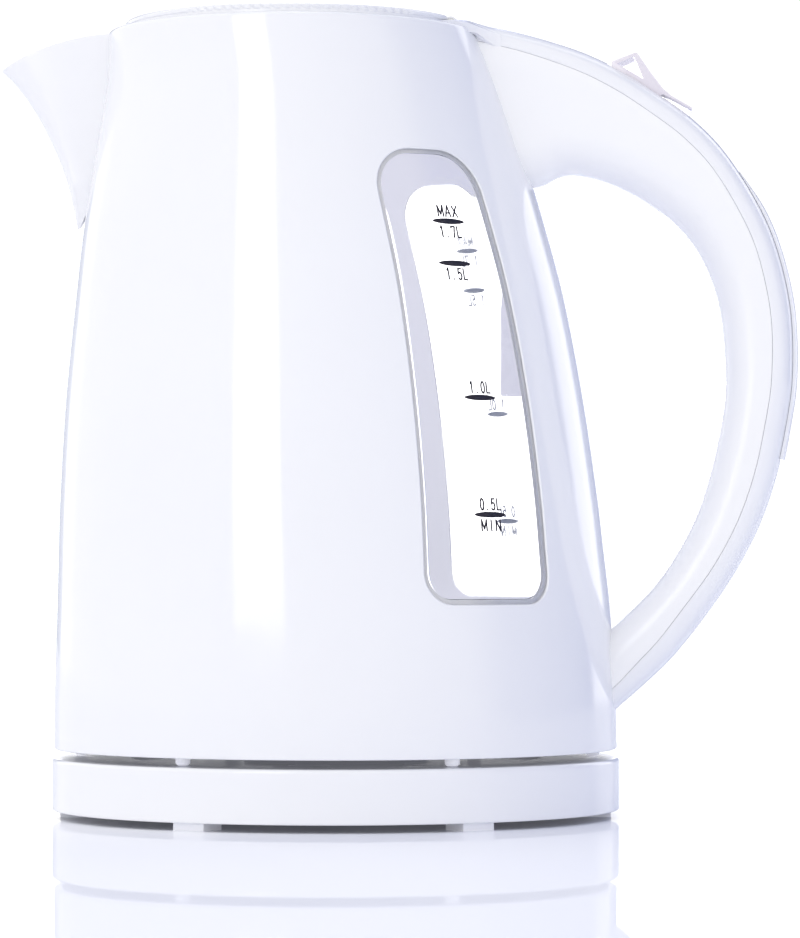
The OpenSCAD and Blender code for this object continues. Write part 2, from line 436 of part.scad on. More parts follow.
module switch_lever() color([0.98, 0.93, 0.94, 0.45]) place() at_switch() difference() {
  union() {
    // hollow wedge with a thin tail
    difference() {
      across(lever_w) polygon([[-14.5, 4.9], [-10.5, 10.6], [-9.7, 10.6], [1.6, 6.2], [11.4, 5.9], [11.4, 5.1], [1.2, 5.0], [-13.9, 4.2]]);
      across(lever_w - 1.8) polygon([[-13.1, 4.0], [-10.2, 9.5], [-9.8, 9.5], [0.6, 5.6], [0.6, 3]]);
    }
    for (s = [-1, 1]) translate([0, s * 5.6, 0]) across(1.2) polygon([[-1.9, 0], [-1.9, 6], [1.9, 5.4], [1.9, 0]]);
    for (s = [-1, 1]) translate([0, s * 5.6 + 0.6, 0]) rotate([90, 0, 0]) cylinder(r = 1.9, h = 1.2);
  }
  translate([0, 10, 0]) rotate([90, 0, 0]) cylinder(r = pin_r + pin_gap, h = 20);
}
module steam_bimetal() color(brass) place() at_switch() translate([6, 0, -11.4]) cylinder(r = 3.4, h = 0.6);
module indicator_lamp() color([0.9, 0.35, 0.2, 0.6]) place() at_switch() translate([-7, 0, -11.4]) { cylinder(r = 2.4, h = 5); translate([0, 0, 5]) sphere(r = 2.4); }

// ---- lid ----------------------------------------------------------------------------------------
module lid_bracket() color(white) place() difference() {
  for (s = [-1, 1]) translate([31.5, s * 15.8 - 1.4, 217.8]) { cube([3.4, 2.8, 3.2]); translate([1.7, 0, 3.2]) rotate([-90, 0, 0]) cylinder(r = 1.7, h = 2.8); }
  translate([hinge_x, 20, hinge_z]) rotate([90, 0, 0]) cylinder(r = 1.2 + pin_gap, h = 40);
}
module lid_pin() color(steel) place() translate([hinge_x, 17.1, hinge_z]) rotate([90, 0, 0]) cylinder(r = 1.2, h = 34.2);
module lid_cover() color(white) place() difference() {
  union() {
    difference() {
      translate([lid_x, 0, 0]) union() {
        rotate_extrude() polygon([[0, 220.9], [42.4, 220.9], [43.2, 220.4], [lid_r - 0.5, 220.4], [lid_r - 0.2, 220.7], [lid_r - 0.2, 221.4],
          [lid_r - 0.5, 221.4], [lid_r - 0.5, 222.8], [lid_r - 1, lid_top_z], [43.5, lid_top_z], [40.5, 222.4], [0, 222.2]]);
        translate([0, 0, 221.45]) linear_extrude(height = 1.3) difference() {
          polygon([for (i = [0:lid_ribs * 2 - 1]) let (a = i * 180 / lid_ribs, g = min(a, 360 - a), r = i % 2 == 0 || g < ribs_from || g > ribs_to ? lid_r : lid_r - 0.45) [r * cos(a), r * sin(a)]]);
          circle(r = lid_r - 1.5);
        }
      }
      for (s = [-1, 1]) translate([30.6, s * 15.8 - 1.8, 219]) cube([8, 3.6, 6]);
    }
    translate([hinge_x, 13.7, hinge_z]) rotate([90, 0, 0]) cylinder(r = 1.95, h = 27.4);
  }
  translate([hinge_x, 20, hinge_z]) rotate([90, 0, 0]) cylinder(r = 1.2 + pin_gap, h = 40);
}
module lid_inner() color(soft_white) place() translate([lid_x, 0, 0]) rotate_extrude() polygon([[0, 214], [40.6, 214], [41.4, 214.8], [41.4, 216.4],
  [42, 216.4], [42, 217], [41.2, 217], [41.2, 219.2], [42, 219.2], [42, 219.8], [41.4, 219.8], [41.4, 220.8], [39.4, 220.8], [39.4, 215.8], [0, 215.8]]);
module lid_seal() color(grey) place() translate([lid_x, 0, 0]) rotate_extrude() polygon([[41.25, 217.1], [42.4, 217.3], [42.75, 218.1], [42.4, 218.9], [41.25, 219.1]]);

base_top();
base_bottom();
base_feet();
base_socket();
base_contacts();
base_screws();
cord_gland();
cord_clamp();
connector_housing();
connector_pins();
body_skirt();
body_shell();
body_top();
body_rim();
spout();
window_left();
window_right();
bottom_cover();
kettle_feet();
bottom_screws();
clamp_ring();
clamp_screws();
heater_plate();
heater_seal();
heat_spreader();
heating_element();
thermostat_control();
bimetal_discs();
control_screws();
steam_duct();
filter_frame();
filter_mesh();
handle_inner();
handle_cover();
handle_strip();
handle_wires();
switch_housing();
switch_pin();
switch_lever();
steam_bimetal();
indicator_lamp();
lid_bracket();
lid_pin();
lid_cover();
lid_inner();
lid_seal();
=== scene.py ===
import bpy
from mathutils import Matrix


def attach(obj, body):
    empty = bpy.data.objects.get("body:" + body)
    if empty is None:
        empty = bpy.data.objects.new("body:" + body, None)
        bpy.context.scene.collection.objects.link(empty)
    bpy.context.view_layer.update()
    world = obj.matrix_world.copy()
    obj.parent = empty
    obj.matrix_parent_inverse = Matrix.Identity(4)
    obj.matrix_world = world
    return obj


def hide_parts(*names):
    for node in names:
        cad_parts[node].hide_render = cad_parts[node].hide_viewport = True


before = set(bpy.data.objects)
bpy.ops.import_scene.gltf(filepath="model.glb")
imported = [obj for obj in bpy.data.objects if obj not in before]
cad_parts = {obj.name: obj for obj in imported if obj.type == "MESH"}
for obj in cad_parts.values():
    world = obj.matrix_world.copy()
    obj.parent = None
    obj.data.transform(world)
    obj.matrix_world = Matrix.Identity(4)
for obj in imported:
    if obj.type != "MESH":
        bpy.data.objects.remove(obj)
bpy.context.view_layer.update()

import bpy
import bmesh
import math
import numpy as np
from mathutils import Matrix, Vector

MM = 0.001
AX = -17.2  # x of the swivel axis, mm

# ------------------------------------------------------------------ shape tables
JUG = np.array([[19.2, -78.8, 78.8], [32, -78.8, 78.6], [46, -78.5, 77.8], [60, -78.1, 76.8],
    [74, -77.8, 75.2], [88.8, -77.4, 73.5], [117, -75.8, 69.4], [145, -73.1, 64.1],
    [165, -70.9, 58.9], [184.4, -67.8, 53.1], [206.5, -64.4, 45.7], [220, -64.1, 40.4]])
GRIP = np.array([[0, 38, 222.3, 56.6, 176.4], [1, 49, 220.2, 59.2, 177.4], [2, 59.4, 217.4, 62.6, 179.2],
    [3, 70.5, 213.6, 66.8, 179.8], [4, 81, 208.4, 73.2, 178.6], [5, 91, 202, 80.6, 175.8],
    [6, 100.3, 195.1, 88, 171.5], [7, 108.5, 186.7, 95.4, 165.8], [8, 116, 175.6, 101.2, 158.6],
    [9, 122, 163.8, 105.4, 150], [10, 126, 150.7, 107.9, 141], [11, 128, 137.8, 109, 131],
    [12, 128.1, 121.7, 109.3, 119.5], [13, 126.2, 108.3, 107.9, 108.5], [14, 123.4, 95.2, 105.2, 96.5],
    [15, 118.7, 81.5, 101.3, 84.5], [16, 112, 68.6, 95.5, 73.3], [17, 103.8, 56.5, 89.9, 65.2],
    [18, 94.6, 44.9, 84.3, 59.2], [19, 86.6, 37.2, 80.3, 55.4], [20, 79.6, 31, 77.8, 53]])
NOSE = np.array([[0, -73.2, 165.4], [1, -75.5, 176.1], [2, -78.5, 184.9], [3, -82.7, 194], [4, -87, 201.1],
    [5, -91, 206.3], [6, -95, 210.3]])
RIM_Z = 220.0
WALL = 2.5
WIN_DIR, WIN_SWEEP, WIN_HALF, WIN_LOW, WIN_HIGH, WIN_RH, WIN_RL = 51.0, 2.8, 15.4, 60.0, 182.7, 12.0, 8.5
H_WALL, COVER_D, STRIP = 2.3, 6.3, 1.06
MOUTH_R, LID_R = 43.0, 47.5
HINGE_X, HINGE_Z = 33.2, 221.0


def slopes(tab, c):
    m = np.empty(len(tab))
    m[0] = (tab[1, c] - tab[0, c]) / (tab[1, 0] - tab[0, 0])
    m[-1] = (tab[-1, c] - tab[-2, c]) / (tab[-1, 0] - tab[-2, 0])
    m[1:-1] = (tab[2:, c] - tab[:-2, c]) / (tab[2:, 0] - tab[:-2, 0])
    return m


def cub(tab, c, x):
    x = np.asarray(x, float)
    i = np.clip(np.searchsorted(tab[:, 0], x, side="right") - 1, 0, len(tab) - 2)
    m = slopes(tab, c)
    d = tab[i + 1, 0] - tab[i, 0]
    t = (x - tab[i, 0]) / d
    a, b = tab[i, c], tab[i + 1, c]
    return (a * (2 * t**3 - 3 * t**2 + 1) + m[i] * d * (t**3 - 2 * t**2 + t)
            + b * (3 * t**2 - 2 * t**3) + m[i + 1] * d * (t**3 - t**2))


def jc(z):
    return (cub(JUG, 1, z) + cub(JUG, 2, z)) / 2


def jr(z):
    return (cub(JUG, 2, z) - cub(JUG, 1, z)) / 2


def wall_px(y, z, o):
    return jc(z) + np.sqrt((jr(z) + o) ** 2 - y * y)


def wall_nx(y, z, o):
    return jc(z) - np.sqrt((jr(z) + o) ** 2 - y * y)


def ease(t):
    t = np.clip(t, 0, 1)
    return t * t * (3 - 2 * t)


# ------------------------------------------------------------------ mesh helpers
def new_object(name, verts, faces, mat=None, smooth=True):
    """Makes a mesh object from millimetres around the swivel axis."""
    v = np.asarray(verts, float).reshape(-1, 3).copy()
    v[:, 0] += AX
    me = bpy.data.meshes.new(name)
    me.from_pydata((v * MM).tolist(), [], [tuple(int(i) for i in f) for f in faces])
    me.validate()
    ob = bpy.data.objects.new(name, me)
    bpy.context.scene.collection.objects.link(ob)
    tidy(ob)
    if mat:
        me.materials.append(mat)
    if smooth:
        shade(ob)
    return ob


def tidy(ob, dist=2e-6):
    bm = bmesh.new()
    bm.from_mesh(ob.data)
    bmesh.ops.remove_doubles(bm, verts=bm.verts, dist=dist)
    bmesh.ops.dissolve_degenerate(bm, edges=bm.edges, dist=1e-7)
    bmesh.ops.recalc_face_normals(bm, faces=bm.faces)
    bm.to_mesh(ob.data)
    bm.free()


def shade(ob, angle=32.0):
    me = ob.data
    bm = bmesh.new()
    bm.from_mesh(me)
    lim = math.radians(angle)
    for f in bm.faces:
        f.smooth = True
    for e in bm.edges:
        e.smooth = not (len(e.link_faces) != 2 or e.calc_face_angle(0.0) > lim)
    bm.to_mesh(me)
    bm.free()


def skin(P, Q):
    """Closed solid between two like grids."""
    P, Q = np.asarray(P, float), np.asarray(Q, float)
    n, m = P.shape[:2]
    verts = np.concatenate([P.reshape(-1, 3), Q.reshape(-1, 3)])
    a = lambda i, j: i * m + j
    b = lambda i, j: n * m + i * m + j
    f = []
    for i in range(n - 1):
        for j in range(m - 1):
            f.append((a(i, j), a(i, j + 1), a(i + 1, j + 1), a(i + 1, j)))
            f.append((b(i, j), b(i + 1, j), b(i + 1, j + 1), b(i, j + 1)))
    for j in range(m - 1):
        f.append((a(0, j + 1), a(0, j), b(0, j), b(0, j + 1)))
        f.append((a(n - 1, j), a(n - 1, j + 1), b(n - 1, j + 1), b(n - 1, j)))
    for i in range(n - 1):
        f.append((a(i, 0), a(i + 1, 0), b(i + 1, 0), b(i, 0)))
        f.append((a(i + 1, m - 1), a(i, m - 1), b(i, m - 1), b(i + 1, m - 1)))
    return verts, f


def ring(prof, n):
    """Closed ring swept from a closed profile of (r, z, cx)."""
    prof = np.asarray(prof, float)
    k = len(prof)
    ang = np.arange(n) * 2 * np.pi / n
    r, z, cx = prof[:, 0:1], prof[:, 1:2], prof[:, 2:3]
    X = cx + r * np.cos(ang)
    Y = r * np.sin(ang)
    Z = np.repeat(z, n, 1)
    verts = np.stack([X, Y, Z], -1).reshape(-1, 3)
    f = [(i * n + j, ((i + 1) % k) * n + j, ((i + 1) % k) * n + (j + 1) % n, i * n + (j + 1) % n)
         for i in range(k) for j in range(n)]
    return verts, f


def revolve(prof, n, cx=0.0):
    """Closed solid of revolution from a profile that starts and ends on the axis."""
    verts, f = [], []
    k = len(prof)
    ids = []
    for r, z in prof:
        if r < 1e-6:
            ids.append([len(verts)])
            verts.append((cx, 0, z))
        else:
            ids.append(list(range(len(verts), len(verts) + n)))
            verts += [(cx + r * math.cos(2 * math.pi * j / n), r * math.sin(2 * math.pi * j / n), z) for j in range(n)]
    for i in range(k - 1):
        A, B = ids[i], ids[i + 1]
        for j in range(n):
            j2 = (j + 1) % n
            if len(A) == 1 and len(B) == 1:
                continue
            if len(A) == 1:
                f.append((A[0], B[j], B[j2]))
            elif len(B) == 1:
                f.append((A[j], B[0], A[j2]))
            else:
                f.append((A[j], B[j], B[j2], A[j2]))
    return verts, f


def loops(sections, caps=True):
    """Solid from like closed loops of points; caps pair point i with point -1-i, as in a C-shaped section."""
    S = np.asarray(sections, float)
    n, m = S.shape[:2]
    verts = S.reshape(-1, 3)
    f = []
    for i in range(n - 1):
        for j in range(m):
            j2 = (j + 1) % m
            f.append((i * m + j, i * m + j2, (i + 1) * m + j2, (i + 1) * m + j))
    if caps:
        h = m // 2
        for base in (0, (n - 1) * m):
            for j in range(h - 1):
                f.append((base + j, base + j + 1, base + m - 2 - j, base + m - 1 - j))
    return verts, f


def box(lo, hi):
    v = [(x, y, z) for x in (lo[0], hi[0]) for y in (lo[1], hi[1]) for z in (lo[2], hi[2])]
    return v, [(0, 1, 3, 2), (4, 6, 7, 5), (0, 4, 5, 1), (2, 3, 7, 6), (0, 2, 6, 4), (1, 5, 7, 3)]


def rod(p0, p1, r, n=48):
    p0, p1 = Vector(p0), Vector(p1)
    d = (p1 - p0).normalized()
    u = d.orthogonal().normalized()
    w = d.cross(u)
    v = [tuple(p + (u * math.cos(2 * math.pi * j / n) + w * math.sin(2 * math.pi * j / n)) * r) for p in (p0, p1) for j in range(n)]
    return v, [tuple(range(n))[::-1], tuple(range(n, 2 * n))] + [(j, (j + 1) % n, n + (j + 1) % n, n + j) for j in range(n)]


def boolean(ob, op, *tools):
    for t in tools:
        m = ob.modifiers.new("b", "BOOLEAN")
        m.operation = op
        m.solver = "EXACT"
        m.object = t
        apply_mods(ob)
        me = t.data
        bpy.data.objects.remove(t)
        bpy.data.meshes.remove(me)


def apply_mods(ob):
    dg = bpy.context.evaluated_depsgraph_get()
    me = bpy.data.meshes.new_from_object(ob.evaluated_get(dg), preserve_all_data_layers=True, depsgraph=dg)
    old = ob.data
    ob.modifiers.clear()
    ob.data = me
    bpy.data.meshes.remove(old)
    me.name = ob.name


def bevel(ob, width, segments=2, angle=35.0):
    m = ob.modifiers.new("r", "BEVEL")
    m.width = width * MM
    m.segments = segments
    m.limit_method = "ANGLE"
    m.angle_limit = math.radians(angle)
    m.use_clamp_overlap = True
    m.miter_outer = "MITER_ARC"
    apply_mods(ob)


def tilt(v, px, pz, deg):
    """Points of the switch's own frame to the kettle's."""
    a = math.radians(deg)
    v = np.asarray(v, float).reshape(-1, 3)
    x = px + v[:, 0] * math.cos(a) + v[:, 2] * math.sin(a)
    z = pz - v[:, 0] * math.sin(a) + v[:, 2] * math.cos(a)
    return np.stack([x, v[:, 1], z], 1)


# ------------------------------------------------------------------ materials
def nodes_of(name):
    m = bpy.data.materials.new(name)
    m.use_nodes = True
    nt = m.node_tree
    nt.nodes.clear()
    out = nt.nodes.new("ShaderNodeOutputMaterial")
    return m, nt, out


def plastic(name, color, dark=None, rough=(0.05, 0.11), bump=0.04, scale=1400.0, wave=0.0, specular=0.5, speck=0.0, coat=0.0, painted_glow=0.0):
    """Moulded plastic: fine skin texture, slow colour and gloss variation, slight waviness of the moulding."""
    m, nt, out = nodes_of(name)
    N, L = nt.nodes.new, nt.links.new
    p = N("ShaderNodeBsdfPrincipled")
    L(p.outputs[0], out.inputs[0])
    tc = N("ShaderNodeTexCoord")
    p.inputs["Specular IOR Level"].default_value = specular
    p.inputs["Coat Weight"].default_value = coat
    p.inputs["Coat Roughness"].default_value = 0.04
    if painted_glow > 0:
        # painted light: emission that stands in for light bounced into hollows and gaps and for light through the thin
        # white wall
        p.inputs["Emission Color"].default_value = (0.90, 0.905, 1.0, 1)
        p.inputs["Emission Strength"].default_value = painted_glow
    slow = N("ShaderNodeTexNoise"); slow.inputs["Scale"].default_value = 14.0; slow.inputs["Detail"].default_value = 3.0
    L(tc.outputs["Object"], slow.inputs["Vector"])
    cr = N("ShaderNodeValToRGB")
    cr.color_ramp.elements[0].position, cr.color_ramp.elements[1].position = 0.3, 0.7
    dark = dark or tuple(c * 0.985 for c in color)
    cr.color_ramp.elements[0].color = (*dark, 1)
    cr.color_ramp.elements[1].color = (*color, 1)
    L(slow.outputs["Fac"], cr.inputs["Fac"])
    col = cr.outputs["Color"]
    if speck > 0:
        sp = N("ShaderNodeTexNoise"); sp.inputs["Scale"].default_value = 900.0; sp.inputs["Detail"].default_value = 2.0
        L(tc.outputs["Object"], sp.inputs["Vector"])
        sr = N("ShaderNodeValToRGB")
        sr.color_ramp.elements[0].position, sr.color_ramp.elements[1].position = 0.28, 0.36
        sr.color_ramp.elements[0].color = (1 - speck,) * 3 + (1,)
        sr.color_ramp.elements[1].color = (1, 1, 1, 1)
        L(sp.outputs["Fac"], sr.inputs["Fac"])
        mx = N("ShaderNodeMix"); mx.data_type = "RGBA"; mx.blend_type = "MULTIPLY"; mx.inputs["Factor"].default_value = 1.0
        L(col, mx.inputs["A"]); L(sr.outputs["Color"], mx.inputs["B"])
        col = mx.outputs["Result"]
    L(col, p.inputs["Base Color"])
    rn = N("ShaderNodeTexNoise"); rn.inputs["Scale"].default_value = 60.0; rn.inputs["Detail"].default_value = 4.0
    L(tc.outputs["Object"], rn.inputs["Vector"])
    rr = N("ShaderNodeMapRange")
    rr.inputs["From Min"].default_value, rr.inputs["From Max"].default_value = 0.3, 0.7
    rr.inputs["To Min"].default_value, rr.inputs["To Max"].default_value = rough
    L(rn.outputs["Fac"], rr.inputs["Value"]); L(rr.outputs["Result"], p.inputs["Roughness"])
    fine = N("ShaderNodeTexNoise"); fine.inputs["Scale"].default_value = scale; fine.inputs["Detail"].default_value = 2.0
    L(tc.outputs["Object"], fine.inputs["Vector"])
    b = N("ShaderNodeBump"); b.inputs["Strength"].default_value = bump; b.inputs["Distance"].default_value = 0.00005
    L(fine.outputs["Fac"], b.inputs["Height"])
    if wave > 0:
        wv = N("ShaderNodeTexNoise"); wv.inputs["Scale"].default_value = 18.0; wv.inputs["Detail"].default_value = 1.0
        L(tc.outputs["Object"], wv.inputs["Vector"])
        b2 = N("ShaderNodeBump"); b2.inputs["Strength"].default_value = wave; b2.inputs["Distance"].default_value = 0.001
        L(wv.outputs["Fac"], b2.inputs["Height"]); L(b.outputs["Normal"], b2.inputs["Normal"])
        L(b2.outputs["Normal"], p.inputs["Normal"])
    else:
        L(b.outputs["Normal"], p.inputs["Normal"])
    return m


def clear_plastic(name, tint, rough=(0.015, 0.06), weight=1.0, ior=1.45):
    """Clear moulded plastic with faint flow marks and a little haze."""
    m, nt, out = nodes_of(name)
    N, L = nt.nodes.new, nt.links.new
    p = N("ShaderNodeBsdfPrincipled")
    p.inputs["Transmission Weight"].default_value = weight
    p.inputs["IOR"].default_value = ior
    tc = N("ShaderNodeTexCoord")
    n1 = N("ShaderNodeTexNoise"); n1.inputs["Scale"].default_value = 40.0; n1.inputs["Detail"].default_value = 5.0
    L(tc.outputs["Object"], n1.inputs["Vector"])
    cr = N("ShaderNodeValToRGB")
    cr.color_ramp.elements[0].color = (*[c * 0.985 for c in tint], 1)
    cr.color_ramp.elements[1].color = (*tint, 1)
    L(n1.outputs["Fac"], cr.inputs["Fac"]); L(cr.outputs["Color"], p.inputs["Base Color"])
    rr = N("ShaderNodeMapRange")
    rr.inputs["From Min"].default_value, rr.inputs["From Max"].default_value = 0.4, 0.7
    rr.inputs["To Min"].default_value, rr.inputs["To Max"].default_value = rough
    L(n1.outputs["Fac"], rr.inputs["Value"]); L(rr.outputs["Result"], p.inputs["Roughness"])
    n2 = N("ShaderNodeTexNoise"); n2.inputs["Scale"].default_value = 22.0; n2.inputs["Detail"].default_value = 2.0
    L(tc.outputs["Object"], n2.inputs["Vector"])
    b = N("ShaderNodeBump"); b.inputs["Strength"].default_value = 0.08; b.inputs["Distance"].default_value = 0.0005
    L(n2.outputs["Fac"], b.inputs["Height"]); L(b.outputs["Normal"], p.inputs["Normal"])
    L(p.outputs[0], out.inputs[0])
    return m


def metal(name, color, rough=(0.22, 0.38), brush=None, scale=500.0):
    """Brushed or plain metal with fine lines along one way."""
    m, nt, out = nodes_of(name)
    N, L = nt.nodes.new, nt.links.new
    p = N("ShaderNodeBsdfPrincipled"); p.inputs["Metallic"].default_value = 1.0
    L(p.outputs[0], out.inputs[0])
    tc = N("ShaderNodeTexCoord"); mp = N("ShaderNodeMapping")
    mp.inputs["Scale"].default_value = brush or (1, 1, 1)
    L(tc.outputs["Object"], mp.inputs["Vector"])
    n1 = N("ShaderNodeTexNoise"); n1.inputs["Scale"].default_value = scale; n1.inputs["Detail"].default_value = 3.0
    L(mp.outputs["Vector"], n1.inputs["Vector"])
    cr = N("ShaderNodeValToRGB")
    cr.color_ramp.elements[0].color = (*[c * 0.86 for c in color], 1)
    cr.color_ramp.elements[1].color = (*color, 1)
    L(n1.outputs["Fac"], cr.inputs["Fac"]); L(cr.outputs["Color"], p.inputs["Base Color"])
    rr = N("ShaderNodeMapRange")
    rr.inputs["To Min"].default_value, rr.inputs["To Max"].default_value = rough
    L(n1.outputs["Fac"], rr.inputs["Value"]); L(rr.outputs["Result"], p.inputs["Roughness"])
    b = N("ShaderNodeBump"); b.inputs["Strength"].default_value = 0.1; b.inputs["Distance"].default_value = 0.00005
    L(n1.outputs["Fac"], b.inputs["Height"]); L(b.outputs["Normal"], p.inputs["Normal"])
    return m


WHITE = plastic("gloss_white", (0.90, 0.91, 0.955), wave=0.012)
WHITE_IN = plastic("plain_white", (0.80, 0.80, 0.83), rough=(0.35, 0.5), bump=0.1, scale=900.0, specular=0.35)
# inside of the jug: its emission is painted light standing in for the light that comes in through the windows and
# bounces round the inside
SHELL_IN = plastic("jug_inside", (0.86, 0.86, 0.895), rough=(0.22, 0.34), bump=0.08, scale=900.0, specular=0.4, painted_glow=0.26)
# handle shell: its slight emission is painted light that lifts its shading
GRIP_IN = plastic("grip_white", (0.93, 0.935, 0.96), rough=(0.18, 0.26), bump=0.06, wave=0.01, painted_glow=0.02)
SPOUT_WHITE = plastic("spout_white", (0.92, 0.925, 0.955), rough=(0.20, 0.28), bump=0.06, wave=0.01)
# top of the base: white plastic given a grey that paints the shade in the gap under the jug; its small emission is
# painted light
TOP_PAINTED_SHADE = plastic("base_top_satin_painted_shade", (0.64, 0.65, 0.70), rough=(0.24, 0.28), bump=0.03, scale=500.0, specular=0.3, painted_glow=0.05)
# undersides of the base and jug: a dark grey that darkens the gaps under them; the small emission is painted light
UNDER = plastic("underside_grey", (0.36, 0.36, 0.375), rough=(0.32, 0.46), bump=0.12, scale=1100.0, speck=0.08, painted_glow=0.05)
# feet: their emission is painted light that lifts them out of the shade in the gaps, stronger on the jug's feet
FEET = plastic("soft_foot", (0.86, 0.87, 0.92), rough=(0.4, 0.6), bump=0.2, scale=1500.0, painted_glow=0.10)
FEET_UP = plastic("jug_foot", (0.88, 0.89, 0.94), rough=(0.3, 0.45), bump=0.15, scale=1500.0, painted_glow=0.34)
# steam duct: its emission is painted light standing in for light that comes in through the windows
DUCT = plastic("duct_grey", (0.80, 0.79, 0.82), rough=(0.25, 0.4), bump=0.08, scale=1000.0, painted_glow=0.24)
SEAL = plastic("seal_silicone", (0.62, 0.63, 0.65), rough=(0.45, 0.6), bump=0.2, scale=1500.0)
BLACK = plastic("control_black", (0.035, 0.035, 0.04), dark=(0.025, 0.025, 0.03), rough=(0.3, 0.45), bump=0.15)
WIRE = plastic("wire_sleeve", (0.55, 0.07, 0.05), rough=(0.35, 0.5), bump=0.1)
INK = plastic("mark_ink", (0.016, 0.011, 0.020), dark=(0.012, 0.009, 0.016), rough=(0.3, 0.45), bump=0.08, scale=2500.0)
INK_BACK = plastic("mark_back", (0.67, 0.71, 0.79), rough=(0.35, 0.5), bump=0.08, scale=2500.0)
CLEAR = clear_plastic("window_clear", (0.985, 0.985, 0.99))
LEVER = clear_plastic("lever_clear", (0.985, 0.975, 0.985), rough=(0.02, 0.05), weight=0.96, ior=1.25)
# lever frame: its emission is painted light that lifts the shade inside the hollow frame
LEVER_EDGE = plastic("lever_edge", (0.58, 0.54, 0.60), rough=(0.08, 0.16), bump=0.06, painted_glow=0.24)
LAMP = clear_plastic("lamp_amber", (0.95, 0.45, 0.2))
STEEL = metal("brushed_steel", (0.66, 0.67, 0.69), brush=(1, 24, 24))
SCREW = metal("screw_steel", (0.60, 0.61, 0.63), rough=(0.25, 0.45))
ALU = metal("plain_aluminium", (0.80, 0.81, 0.83), rough=(0.3, 0.5))
BRASS = metal("contact_brass", (0.78, 0.58, 0.28), rough=(0.18, 0.32))
ELEMENT = metal("element_sheath", (0.28, 0.28, 0.30), rough=(0.4, 0.6))


def mesh_steel(name):
    """Woven steel filter cloth."""
    m = metal(name, (0.62, 0.63, 0.65), rough=(0.25, 0.4))
    nt = m.node_tree
    N, L = nt.nodes.new, nt.links.new
    p = next(n for n in nt.nodes if n.type == "BSDF_PRINCIPLED")
    tc = next(n for n in nt.nodes if n.type == "TEX_COORD")
    w1 = N("ShaderNodeTexWave"); w1.bands_direction = "Y"; w1.inputs["Scale"].default_value = 320.0
    w2 = N("ShaderNodeTexWave"); w2.bands_direction = "Z"; w2.inputs["Scale"].default_value = 320.0
    mul = N("ShaderNodeMath"); mul.operation = "MULTIPLY"
    for w, i in ((w1, 0), (w2, 1)):
        L(tc.outputs["Object"], w.inputs["Vector"]); L(w.outputs["Fac"], mul.inputs[i])
    b = next(n for n in nt.nodes if n.type == "BUMP")
    b.inputs["Strength"].default_value = 0.6; b.inputs["Distance"].default_value = 0.0002
    L(mul.outputs[0], b.inputs["Height"])
    return m


MESH = mesh_steel("filter_cloth")

# ------------------------------------------------------------------ jug body
SEG = 256


def jug_profile():
    pts = []
    zb = JUG[0, 0]
    # lower edge, turned in with a small radius
    for a in np.linspace(-90, 0, 5):
        z = zb + 0.5 + 0.5 * math.sin(math.radians(a))
        pts.append((float(jr(zb)) - 0.5 + 0.5 * math.cos(math.radians(a)), z, 0.0 if a < -80 else float(jc(z))))
    for z in np.linspace(zb + 3.5, 218.4, 62):
        pts.append((float(jr(z)), z, float(jc(z))))
    R = 0.8
    for a in np.linspace(0, 90, 7):
        z = RIM_Z - R * (1 - math.sin(math.radians(a)))
        pts.append((float(jr(z)) - R * (1 - math.cos(math.radians(a))), z, float(jc(z))))
    cx = float(jc(RIM_Z))
    for a in np.linspace(90, 180, 5):
        pts.append((MOUTH_R + 0.5 + 0.5 * math.cos(math.radians(a)), RIM_Z - 0.5 + 0.5 * math.sin(math.radians(a)), cx))
    pts.append((MOUTH_R, RIM_Z - 3.5, cx))
    zi = RIM_Z - 3.5
    pts.append((float(jr(zi)) - WALL, zi, float(jc(zi))))
    for z in np.linspace(212, 60, 34):
        pts.append((float(jr(z)) - WALL, z, float(jc(z))))
    for z in (58,):
        pts.append((float(jr(z)) - WALL, z, float(jc(z))))
    pts += [(68, 58, float(jc(58))), (68, 56, float(jc(56)))]
    for z in (56, 46, 38, 30, 20.0):
        pts.append((float(jr(z)) - WALL, z, float(jc(z))))
    pts.append((float(jr(zb)) - WALL + 0.3, zb, 0.0))
    return pts


def win_rows(g, nc=12, ns=44):
    z0, z1, rl, rh = WIN_LOW - g, WIN_HIGH + g, WIN_RL + g, WIN_RH + g
    rows = [(z0 + rl * (1 - math.cos(a)), rl * (1 - math.sin(a))) for a in np.linspace(0, math.pi / 2, nc)]
    rows += [(z0 + rl + (z1 - rh - z0 - rl) * k / ns, 0.0) for k in range(1, ns)]
    rows += [(z1 - rh * (1 - math.cos(a)), rh * (1 - math.sin(a))) for a in np.linspace(math.pi / 2, 0, nc)]
    return rows


def win_grid(s, g, o, nj=16):
    G = []
    for z, inset in win_rows(g):
        r = float(jr(z))
        w = WIN_HALF + (g - inset) / r * 57.2958
        f = np.radians(s * (WIN_DIR + WIN_SWEEP * ((z - 98) / 72) ** 2 + w * np.linspace(-1, 1, nj + 1)))
        G.append(np.stack([float(jc(z)) + (r + o) * np.cos(f), (r + o) * np.sin(f), np.full(nj + 1, z)], 1))
    return np.array(G)


def border(n, m):
    return ([(0, j) for j in range(m)] + [(i, m - 1) for i in range(1, n)]
            + [(n - 1, j) for j in range(m - 2, -1, -1)] + [(i, 0) for i in range(n - 2, 0, -1)])


